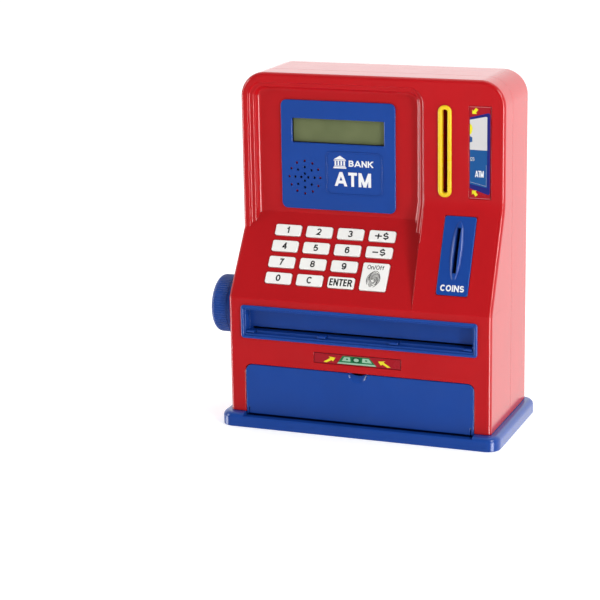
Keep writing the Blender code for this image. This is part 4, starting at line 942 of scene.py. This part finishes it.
def make_door():
    low_z = 0.0093
    thick = 0.0025
    plate = layered(
        (-DOOR_HIGH.x, low_z), (DOOR_HIGH.x, DOOR_HIGH.z), (0.005, 0.005, 0.0008, 0.0008),
        fillet_layers(FRONT, at(thick), 0.0006, 4), 8,
    )
    door = place(plate, "door_panel", BLUE)
    axis = at(HINGE_DEPTH)
    root = at(thick - 0.0005)
    arms, pins, slits = (bmesh.new() for _ in range(3))
    for side in (-1, 1):
        low, high = sorted((side * 0.0829, side * 0.0845))
        box((low, root, HINGE_HEIGHT - 0.0020), (high, at(HINGE_DEPTH + 0.0020), HINGE_HEIGHT + 0.0020), arms)
        rod((side * 0.0801, axis, HINGE_HEIGHT), (side * 0.0835, axis, HINGE_HEIGHT), 0.0011, 20, pins)
        low, high = sorted((side * 0.0848, side * 0.0856))
        box((low, at(-0.005), low_z - 0.001), (high, at(0.01), low_z + 0.0055), slits)
    rib = box((-0.030, root, DOOR_HIGH.z - 0.0058), (0.030, at(thick + 0.0015), DOOR_HIGH.z - 0.0024))
    foot = [(at(-0.001), low_z - 0.001), (at(0.0012), low_z - 0.001), (at(-0.001), low_z + 0.0012)]
    join(door, arms, pins, rib)
    cut(door, slits, finger_scoop(), prism(foot, -0.1, 0.1))
    stands_for(door, "door", "blue_plastic", "door")


# Bill slot, screen panel, card ring and coin plate
SLIT_HEIGHT = 0.0734
TAB_X = (-0.0830, -0.0275, 0.0275, 0.0830)


def make_bezel():
    border, skin_width, depth = 0.0022, 0.0014, 0.0080
    face = BEZEL_LOW.y
    right = BEZEL_HIGH.x - border
    low, high = BEZEL_LOW.z + border, BEZEL_HIGH.z - border
    flange = layered(*around(BEZEL_LOW, BEZEL_HIGH, 0), 0.0024, fillet_layers(face, at(-GAP), 0.0009, 6), 8)
    bezel = place(flange, "bill_bezel", BLUE)
    overlap = 0.0001
    tub = box(
        (-right - overlap, at(-0.0005), low - overlap),
        (right + overlap, at(depth + 0.0016), high + overlap),
    )
    frame_cut = flared_hole((-right, low), (right, high), 0.0008, face, at(-0.0001), 0.0007, 4)
    pocket = flared_hole(
        (-right + skin_width, low + skin_width), (right - skin_width, high - skin_width), 0.0006,
        at(-0.0001), at(depth), 0.0003, 4,
    )
    ledge = box(
        (-right + 0.0010, at(0.0030), low + 0.0010),
        (right - 0.0010, at(depth + 0.0005), SLIT_HEIGHT - 0.0008),
    )
    bevel(ledge, ledge.edges[:], 0.0003, 3)
    tabs, notches = bmesh.new(), bmesh.new()
    for x in TAB_X:
        box((x - 0.0029, at(-0.0004), low + 0.0022), (x + 0.0029, at(0.0035), SLIT_HEIGHT - 0.0004), tabs)
        for side in (-1, 1):
            start, end = sorted((x + side * 0.0029, x + side * 0.0037))
            box((start, at(-0.0020), low + 0.0016), (end, at(0.0062), SLIT_HEIGHT), notches)
    slit = box((-0.0842, at(0.0036), SLIT_HEIGHT - 0.0008), (0.0842, at(0.02), SLIT_HEIGHT + 0.0009))
    join(bezel, tub)
    cut(bezel, frame_cut, pocket)
    join(bezel, ledge, tabs)
    cut(bezel, notches, slit)
    stands_for(bezel, "case", "blue_plastic", "bill_slot_bezel")


def upright_at(y):
    """A frame on an upright face: X across, Y up, Z outward."""
    return Matrix.Translation((0, y, 0)) @ UPRIGHT


def make_screen_panel():
    face, back = PANEL_LOW.y, PANEL_HIGH.y
    plate = layered(*around(PANEL_LOW, PANEL_HIGH, 0), 0.0045, fillet_layers(face, back, 0.0005, 4), 10)
    panel = place(plate, "screen_bezel", BLUE)
    window = flared_hole(
        *around(DISPLAY_LOW, DISPLAY_HIGH, 0.0002), 0.0008, face, back + 0.002, 0.0009, 4
    )
    holes = bmesh.new()
    for count, radius in ((4, 0.0027), (8, 0.0075), (12, 0.0121)):
        for i in range(count):
            angle = math.tau * i / count
            x, z = SPEAKER[0] + radius * math.cos(angle), SPEAKER[1] + radius * math.sin(angle)
            rod((x, face - 0.001, z), (x, back + 0.001, z), 0.00095, 24, holes)
    cut(panel, window, holes)
    stands_for(panel, "case", "blue_plastic", "screen_panel")
    frame_line = outline((-0.0358, 0.1707), (0.0068, 0.2018), 0.0040, 8)
    line = ribbon(frame_line, 0.0009, upright_at(face), BLUE, -0.0001, 0.0004, True)
    stands_for(gather("screen_panel_line", [line]), "case", "blue_plastic")


def make_card_ring():
    """The yellow ring round the card slot: a rounded rim, and a sleeve through the wall."""
    rim, sleeve, corner = 0.0030, 0.0011, 0.0016
    rim_depth, rim_bulge = -0.0007, 0.0011
    section = [(-GAP, rim), (rim_depth, rim)]
    for i in range(1, 10):
        turn = math.pi * i / 10
        section.append((rim_depth - rim_bulge * math.sin(turn), rim / 2 + rim / 2 * math.cos(turn)))
    section += [(-0.0006, 0), (WALL + 0.0002, 0), (WALL + 0.0002, sleeve), (-GAP, sleeve)]
    rings = []
    for depth, grow in section:
        points = outline(*grown(*CARD_SLOT, grow), corner + grow, 10)
        rings.append([(x, at(SETBACK + depth), z) for x, z in points])
    ring = place(skin(rings, closed=True), "card_ring", YELLOW)
    stands_for(ring, "case", "yellow_plastic", "card_slot_bezel")


def make_coin_plate():
    low, high = 0.0132, 0.0706
    half = 0.0116
    layers = top_layers([(-0.0007, 0), (0.0002, 0)], 0.0006, 0.0004, 3)
    plate = stacked((COIN_X - half, low), (COIN_X + half, high), 0.0018, layers, 6)
    plug = box((COIN_X - 0.0092, 0.0174, -0.0042), (COIN_X + 0.0092, 0.0666, -0.0002))
    lips = bmesh.new()
    stretch = Matrix.Diagonal((0.0043, 0.0215, 0.0021, 1))
    bmesh.ops.create_uvsphere(
        lips, u_segments=48, v_segments=24, radius=1.0,
        matrix=Matrix.Translation((COIN_X, 0.0456, 0.0004)) @ stretch,
    )
    slot = stacked((COIN_X - 0.0015, 0.0290), (COIN_X + 0.0015, 0.0622), 0.0004, [(-0.01, 0), (0.01, 0)], 4)
    piece = place(plate, "coin_plate", BLUE, matrix=COLUMN)
    join(piece, *on_face(COLUMN, plug, lips))
    cut(piece, *on_face(COLUMN, slot))
    stands_for(piece, "case", "blue_plastic", "coin_slot_plate")
    face = COLUMN @ Matrix.Translation((COIN_X, 0.0160 + 0.00235, 0.0006))
    word = gather("coins_word", words("COINS", 0.0046, 0.00095, face, WHITE_INK, width=0.0176))
    stands_for(word, "case", "printed_label")


# Knob
def make_knob():
    """A ribbed grip with a rounded outer edge, a collar towards the case and a bore for the shaft."""
    ribs, per_rib = 72, 6
    radius, near, far, edge = 0.0215, -0.0012, -0.0170, 0.0040
    profile = [(near, 0.0202, 0), (near - 0.0004, 0.0205, 0), (near - 0.0027, 0.0205, 0)]
    profile += [(near - 0.0032, 0.0209, 0.4), (near - 0.0037, radius, 1), (far + edge, radius, 1)]
    for i in range(1, 9):
        turn = math.pi / 2 * i / 8
        profile.append((far + edge * (1 - math.sin(turn)), radius - edge * (1 - math.cos(turn)), 1 - i / 8))
    profile.append((far, 0.0120, 0))
    rings = []
    for x, reach, ribbed in profile:
        ring = []
        for i in range(ribs * per_rib):
            angle = math.tau * i / (ribs * per_rib)
            dip = 0.00042 * ribbed * abs(math.cos(ribs * angle / 2)) ** 1.5
            reached = reach - dip
            ring.append(KNOB_CENTRE + Vector((x, reached * math.cos(angle), reached * math.sin(angle))))
        rings.append(ring)
    knob = place(skin(rings), "knob_grip", KNOB_BLUE, angle=KNOB_SHARP_ANGLE)
    collar, bore = (
        rod(KNOB_CENTRE + Vector((start, 0, 0)), KNOB_CENTRE + Vector((end, 0, 0)), size, 32)
        for start, end, size in ((near - 0.001, 0.0045, 0.0048), (-0.0128, 0.02, SHAFT_RADIUS + GAP))
    )
    combine(knob, ("UNION", collar), ("DIFFERENCE", bore), angle=KNOB_SHARP_ANGLE)
    stands_for(knob, "feed_drive", "blue_plastic", "knob")


# Keys
LEGENDS = {
    "key_clear": ("C", None, 0.0052), "key_enter": ("ENTER", 0.0172, 0.0054),
    "key_add": ("+$", 0.0104, 0.0048), "key_subtract": ("-$", 0.0100, 0.0048),
}
KEY_TOP = 0.0012


def swirl(centre, tilt):
    """Ridge lines of a made-up fingertip print: open hoops round a small loop, over short arcs."""
    lines = []
    for ring, gap in enumerate((34, 58, 20, 44, 66, 38, 52, 30), 1):
        wide, tall = 0.00059 * ring, 0.00080 * ring
        points = []
        for step in range(33):
            angle = math.radians(-90 + gap + (360 - 2 * gap) * step / 32)
            ripple = 1 + 0.035 * math.sin(4 * angle + 1.7 * ring)
            points.append((wide * ripple * math.cos(angle), tall * ripple * math.sin(angle)))
        lines.append(points)
        if ring > 2:
            half = gap - 13
            turns = [math.radians(-90 + half * (step / 4 - 1)) for step in range(9)]
            lines.append([(0.9 * wide * math.cos(t), 0.00025 + 0.94 * tall * math.sin(t)) for t in turns])
    c, s = math.cos(tilt), math.sin(tilt)
    return [[(centre[0] + x * c - y * s, centre[1] + x * s + y * c) for x, y in line] for line in lines]


def make_key(name, x, up, half):
    wide = KEY_WIDTH / 2
    layers = top_layers([(-0.0037, 0), (0, 0)], KEY_TOP, 0.0005, 4)
    body = stacked((x - wide, up - half), (x + wide, up + half), 0.0014, layers, 5)
    cap = place(body, f"{name}_cap", KEY_WHITE, matrix=KEYPAD)
    rim = 0.0010
    flange = box((x - wide - rim, up - half - rim, -0.0039), (x + wide + rim, up + half + rim, -WALL - GAP))
    join(cap, *on_face(KEYPAD, flange))
    stands_for(cap, name, "key_rubber", name)
    face = KEYPAD @ Matrix.Translation((x, up, KEY_TOP))
    if name == "key_power":
        over = face @ Matrix.Translation((0, 0.0072, 0))
        marks = words("On/Off", 0.0033, 0.00044, over, BLACK_INK, width=0.0128)
        print_lines = swirl((-0.0004, -0.0021), math.radians(-17))
        marks += [ribbon(line, 0.00037, face, GREY_INK) for line in print_lines]
    else:
        word, width, height = LEGENDS.get(name, (name[-1], None, 0.0051))
        marks = words(word, height, 0.00098, face, BLACK_INK, width=width)
    stands_for(gather(f"{name}_legend", marks), name, "printed_label")


# Battery cover
def make_battery_cover():
    face = DEPTH - 0.0002
    layers = top_layers([(COVER_LOW.y, 0)], at(face), 0.0005, 3)
    cover = place(layered(*around(COVER_LOW, COVER_HIGH, 0), 0.0015, layers, 5), "battery_lid_panel", RED)
    grips = bmesh.new()
    for i in range(5):
        z = 0.180 + 0.0025 * i + 0.0005
        rod((-0.0085, at(face), z), (0.0085, at(face), z), 0.00075, 16, grips)
    join(cover, grips)
    outside = (0, at(DEPTH + 0.01), COVER_SCREW_HEIGHT)
    for depth, radius, sides in ((DEPTH - 0.01, THREAD_RADIUS, 24), (DEPTH - 0.0011, 0.0031, 32)):
        cut(cover, rod((0, at(depth), COVER_SCREW_HEIGHT), outside, radius, sides))
    stands_for(cover, "battery_lid", "red_plastic", "battery_cover")


# Labels
INK_HIGH = 0.00013
INK_STEP = 0.00002


def bank_mark(matrix, material, size):
    """A plain bank front: pediment, beams, steps and four columns."""
    parts = [[(-1.0, 0.45), (1.0, 0.45), (0, 1.05)]]
    parts += [bar(-1.0, 0.26, 1.0, 0.38), bar(-1.05, -0.95, 1.05, -0.72), bar(-0.92, -0.66, 0.92, -0.52)]
    parts += [bar(x - 0.13, -0.47, x + 0.13, 0.21) for x in (-0.72, -0.24, 0.24, 0.72)]
    return [flat([(x * size, y * size) for x, y in part], matrix, material) for part in parts]


def make_panel_words():
    face = upright_at(PANEL_LOW.y)
    letters = []
    for text, height, weight, x, z, width in (
        ("ATM", 0.0104, 0.00215, -0.0154, 0.1820, 0.0276), ("BANK", 0.0046, 0.00098, -0.0094, 0.1938, 0.0185)
    ):
        letters += words(text, height, weight, face @ Matrix.Translation((x, z, 0)), WHITE_INK, width=width)
    letters += bank_mark(face @ Matrix.Translation((-0.0255, 0.1943, 0)), WHITE_INK, 0.0047)
    stands_for(gather("panel_words", letters), "case", "printed_label")


def label_artist(left, edge, way, plane):
    """A function that lays a polygon on a label, from millimetres off its left and one other edge."""
    def piece(points, material, level):
        points = [(left + x / 1000, edge + way * y / 1000) for x, y in points]
        return flat(points, plane, material, 0.0, INK_HIGH + level * INK_STEP)
    return piece


def arrow(x, y, down):
    """A fat arrow that points to the lower left, or to the upper left."""
    shape = [(-2.1, 2.1), (-2.1, -0.8), (-1.3, 0.0), (0.5, -2.2), (2.2, -0.9), (0.5, 1.3), (1.4, 2.1)]
    return [(x + a, y + (b if down else -b)) for a, b in shape]


def make_card_label():
    left, top = CARD_LOW.x, CARD_HIGH.z
    wide, tall = (CARD_HIGH.x - left) * 1000, (top - CARD_LOW.z) * 1000
    plane = upright_at(CARD_HIGH.y)
    piece = label_artist(left, top, -1, plane)
    card = [(0.5, 8.0), (13.6, 4.6), (14.6, 4.7), (15.3, 5.7), (15.3, 61.4), (14.8, 62.6), (13.7, 62.8)]
    card.append((0.5, 58.6))
    grey = [(0.5, 9.7), (12.4, 7.1), (13.1, 7.6), (13.1, 31.1), (0.5, 30.9)]
    art = (
        (bar(0.3, 0.35, wide - 0.3, 0.65), LABEL_RIM, 1),
        (bar(0.3, tall - 0.65, wide - 0.3, tall - 0.35), LABEL_RIM, 1),
        (bar(wide - 0.5, 0.3, wide - 0.1, tall - 0.3), LABEL_EDGE, 1),
        (arrow(4.3, 3.3, True), LABEL_YELLOW, 1),
        (arrow(4.3, tall - 4.0, False), LABEL_YELLOW, 1),
        (card, LABEL_NAVY, 1),
        (grey, LABEL_GREY, 2),
        ([(0.5, 30.9), (13.1, 31.1), (13.1, 57.9), (0.5, 55.4)], LABEL_BLUE, 2),
        ([(0.5, 12.5), (1.9, 13.4), (2.5, 16.2), (1.7, 19.2), (0.5, 20.4)], LABEL_YELLOW, 3),
        ([(0.5, 21.2), (2.3, 22.2), (2.3, 25.2), (0.5, 25.8)], LABEL_BLUE, 3),
        ([(0.8, 54.0), (12.7, 56.6), (12.7, 56.75), (0.8, 54.15)], LABEL_GREY, 3),
        (bar(12.5, 41.5, 12.6, 56.6), LABEL_GREY, 3),
    )
    ground = outline((left, CARD_LOW.z), (CARD_HIGH.x, top), 0.0006, 4)
    parts = [flat(ground, plane, LABEL_RED, 0.0, INK_HIGH)]
    parts += [piece(*layer) for layer in art]
    for text, x, down, height, weight, ink, width in (
        ("123", 0.0022, 0.0376, 0.0026, 0.0003, LABEL_GREY, 0.0032),
        ("ATM", 0.0076, 0.0481, 0.0046, 0.00055, WHITE_INK, 0.0062),
    ):
        centre = plane @ Matrix.Translation((left + x, top - down, INK_HIGH + 3 * INK_STEP))
        parts += words(text, height, weight, centre, ink, width=width)
    stands_for(gather("card_label_art", parts), "case", "printed_label", "card_label")


def make_bill_label():
    left, low = BILL_LOW.x, BILL_LOW.z
    plane = upright_at(BILL_HIGH.y)
    piece = label_artist(left, low, 1, plane)
    hook = [(-4.7, 1.1), (-2.3, 0.8), (1.6, 2.9), (2.6, 2.0), (4.7, 4.9), (-0.5, 5.4), (0.6, 4.4)]

    def oval(x, y, wide, tall):
        return bow(x, y, wide, tall, 0, 360, 28)[:-1]

    art = (
        ([(17.8, 0.6), (48.2, 0.6), (42.4, 6.8), (22.2, 6.8)], LABEL_GREEN, 2),
        ([(18.1, 0.8), (47.9, 0.8), (46.9, 1.9), (18.9, 1.9)], LABEL_MINT, 3),
        ([(21.4, 2.9), (28.2, 2.9), (27.9, 6.0), (23.4, 6.0)], LABEL_MINT, 3),
        ([(37.0, 2.9), (44.6, 2.9), (42.2, 6.0), (37.4, 6.0)], LABEL_MINT, 3),
        (oval(32.6, 4.3, 3.4, 2.2), LABEL_DARK_GREEN, 3),
        (oval(32.6, 4.3, 2.0, 1.3), LABEL_MINT, 4),
        (oval(25.6, 4.5, 0.9, 0.6), LABEL_GREEN, 4),
        (oval(40.2, 4.5, 0.9, 0.6), LABEL_GREEN, 4),
        ([(12.0 + x, y) for x, y in hook], LABEL_YELLOW, 2),
        ([(54.0 - x, y) for x, y in reversed(hook)], LABEL_YELLOW, 2),
    )
    ground = outline(*around(BILL_LOW, BILL_HIGH, 0), 0.0006, 4)
    inner = outline(*around(BILL_LOW, BILL_HIGH, -0.0003), 0.0004, 3)
    parts = [
        flat(ground, plane, LABEL_EDGE, 0.0, INK_HIGH),
        flat(inner, plane, LABEL_RED, 0.0, INK_HIGH + INK_STEP),
        *(piece(*layer) for layer in art),
    ]
    stands_for(gather("bill_label_art", parts), "case", "printed_label", "bill_label")


make_front_housing()
make_rear_housing()
make_base()
make_door()
make_bezel()
make_screen_panel()
make_card_ring()
make_coin_plate()
make_knob()
for cell in key_cells():
    make_key(*cell)
make_battery_cover()
make_panel_words()
make_card_label()
make_bill_label()

# The solids that keep their shape
BY_SLOT = {
    "red_plastic": RED, "blue_plastic": BLUE, "yellow_plastic": YELLOW, "key_rubber": KEY_WHITE,
    "display_glass": SCREEN, "black_plastic": BLACK, "circuit_board": BOARD, "dark_rubber": DARK_RUBBER,
    "plated_steel": STEEL, "printed_label": WHITE_INK,
}
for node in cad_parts.values():
    for holder in node.material_slots:
        slot = holder.material.name.split(".")[0] if holder.material else None
        holder.material = BY_SLOT.get(slot, holder.material)


# Floor, light and camera
def make_floor():
    """A pale floor that glows a little, and that glossy plastic doesn't mirror."""
    work = bmesh.new()
    bmesh.ops.create_grid(work, x_segments=2, y_segments=2, size=6.0)
    material = bpy.data.materials.new("pale_floor")
    tree, shader = nodes_for(material)
    mottle = add(tree, "TexNoise", "Fac", Vector=add(tree, "TexCoord", "Object"), Scale=3.0, Detail=2.0)
    pale = ramp(tree, mottle, (0.3, (0.90, 0.90, 0.90)), (0.7, (0.93, 0.93, 0.93)))
    dial(
        shader, Base_Color=pale, Emission_Color=pale, Emission_Strength=0.46, Roughness=0.9,
        Specular_IOR_Level=0.1,
    )
    floor = place(work, "floor", material)
    floor.visible_glossy = False


# Name, (width, height), watts and position of each soft light, which looks at the object's middle
LIGHTS = (
    ("key_light", (0.6, 0.6), 9.4, (1.25, -0.70, 1.05)),
    ("fill_light", (0.6, 0.8), 9, (-1.75, -0.75, 0.65)),
    ("top_light", (1.0, 1.0), 2, (0.1, 0.2, 1.6)),
    ("edge_light", (0.05, 0.7), 5, (1.15, -0.75, 0.45)),
)
LIT_POINT = Vector((0, 0, 0.10))


def soft_light(name, size, power, position):
    light = bpy.data.lights.new(name, "AREA")
    light.shape = "RECTANGLE"
    light.size, light.size_y = size
    light.energy = power
    obj = new_object(name, light)
    obj.location = position
    obj.rotation_euler = (LIT_POINT - Vector(position)).to_track_quat("-Z", "Y").to_euler()


def toward(azimuth, elevation):
    """The direction to a point this far round from the front and this far up, in radians."""
    level = math.cos(elevation)
    return Vector((math.sin(azimuth) * level, -math.cos(azimuth) * level, math.sin(elevation)))


# Azimuth and elevation in degrees, and strength, of the two bright patches that edges mirror
BRIGHT_PATCHES = ((57, -15, 14.0), (-75, -14, 8.0))


def make_world():
    """A white studio, dimmer in front of the object than behind it, with a bright patch low at each side."""
    world = bpy.data.worlds.new("studio")
    bpy.context.scene.world = world
    world.use_nodes = True
    tree = world.node_tree
    where = add(tree, "TexCoord", "Generated")
    rear = add(tree, "SeparateXYZ", "Y", Vector=where)
    total = add(
        tree, "MapRange", "Result", Value=rear, From_Min=-0.45, From_Max=0.6, To_Min=0.13, To_Max=1.42
    )
    for azimuth, elevation, strength in BRIGHT_PATCHES:
        centre = toward(math.radians(azimuth), math.radians(elevation))
        near = maths(tree, "DOT_PRODUCT", where, centre, kind="VectorMath")
        patch = add(tree, "MapRange", "Result", Value=near, From_Min=0.972, From_Max=0.988, To_Max=strength)
        total = maths(tree, "ADD", total, patch)
    dial(tree.nodes["Background"], Strength=total, Color=(1.0, 1.0, 1.0, 1))


def make_camera():
    azimuth, elevation, roll = 0.372, 0.255, -0.018
    back = toward(azimuth, elevation)
    across = Vector((math.cos(azimuth), math.sin(azimuth), 0))
    up = back.cross(across)
    right = across * math.cos(roll) + up * math.sin(roll)
    over = up * math.cos(roll) - across * math.sin(roll)
    camera = bpy.data.cameras.new("camera")
    camera.lens = 120.63
    camera.sensor_width = 36
    camera.clip_end = 20
    obj = new_object("camera", camera)
    turn = Matrix((right, over, back)).transposed().to_4x4()
    obj.matrix_world = Matrix.Translation((0.46875, -1.36055, 0.46653)) @ turn
    bpy.context.scene.camera = obj


make_floor()
make_world()
for light in LIGHTS:
    soft_light(*light)
make_camera()
bpy.context.scene.view_settings.view_transform = "Standard"
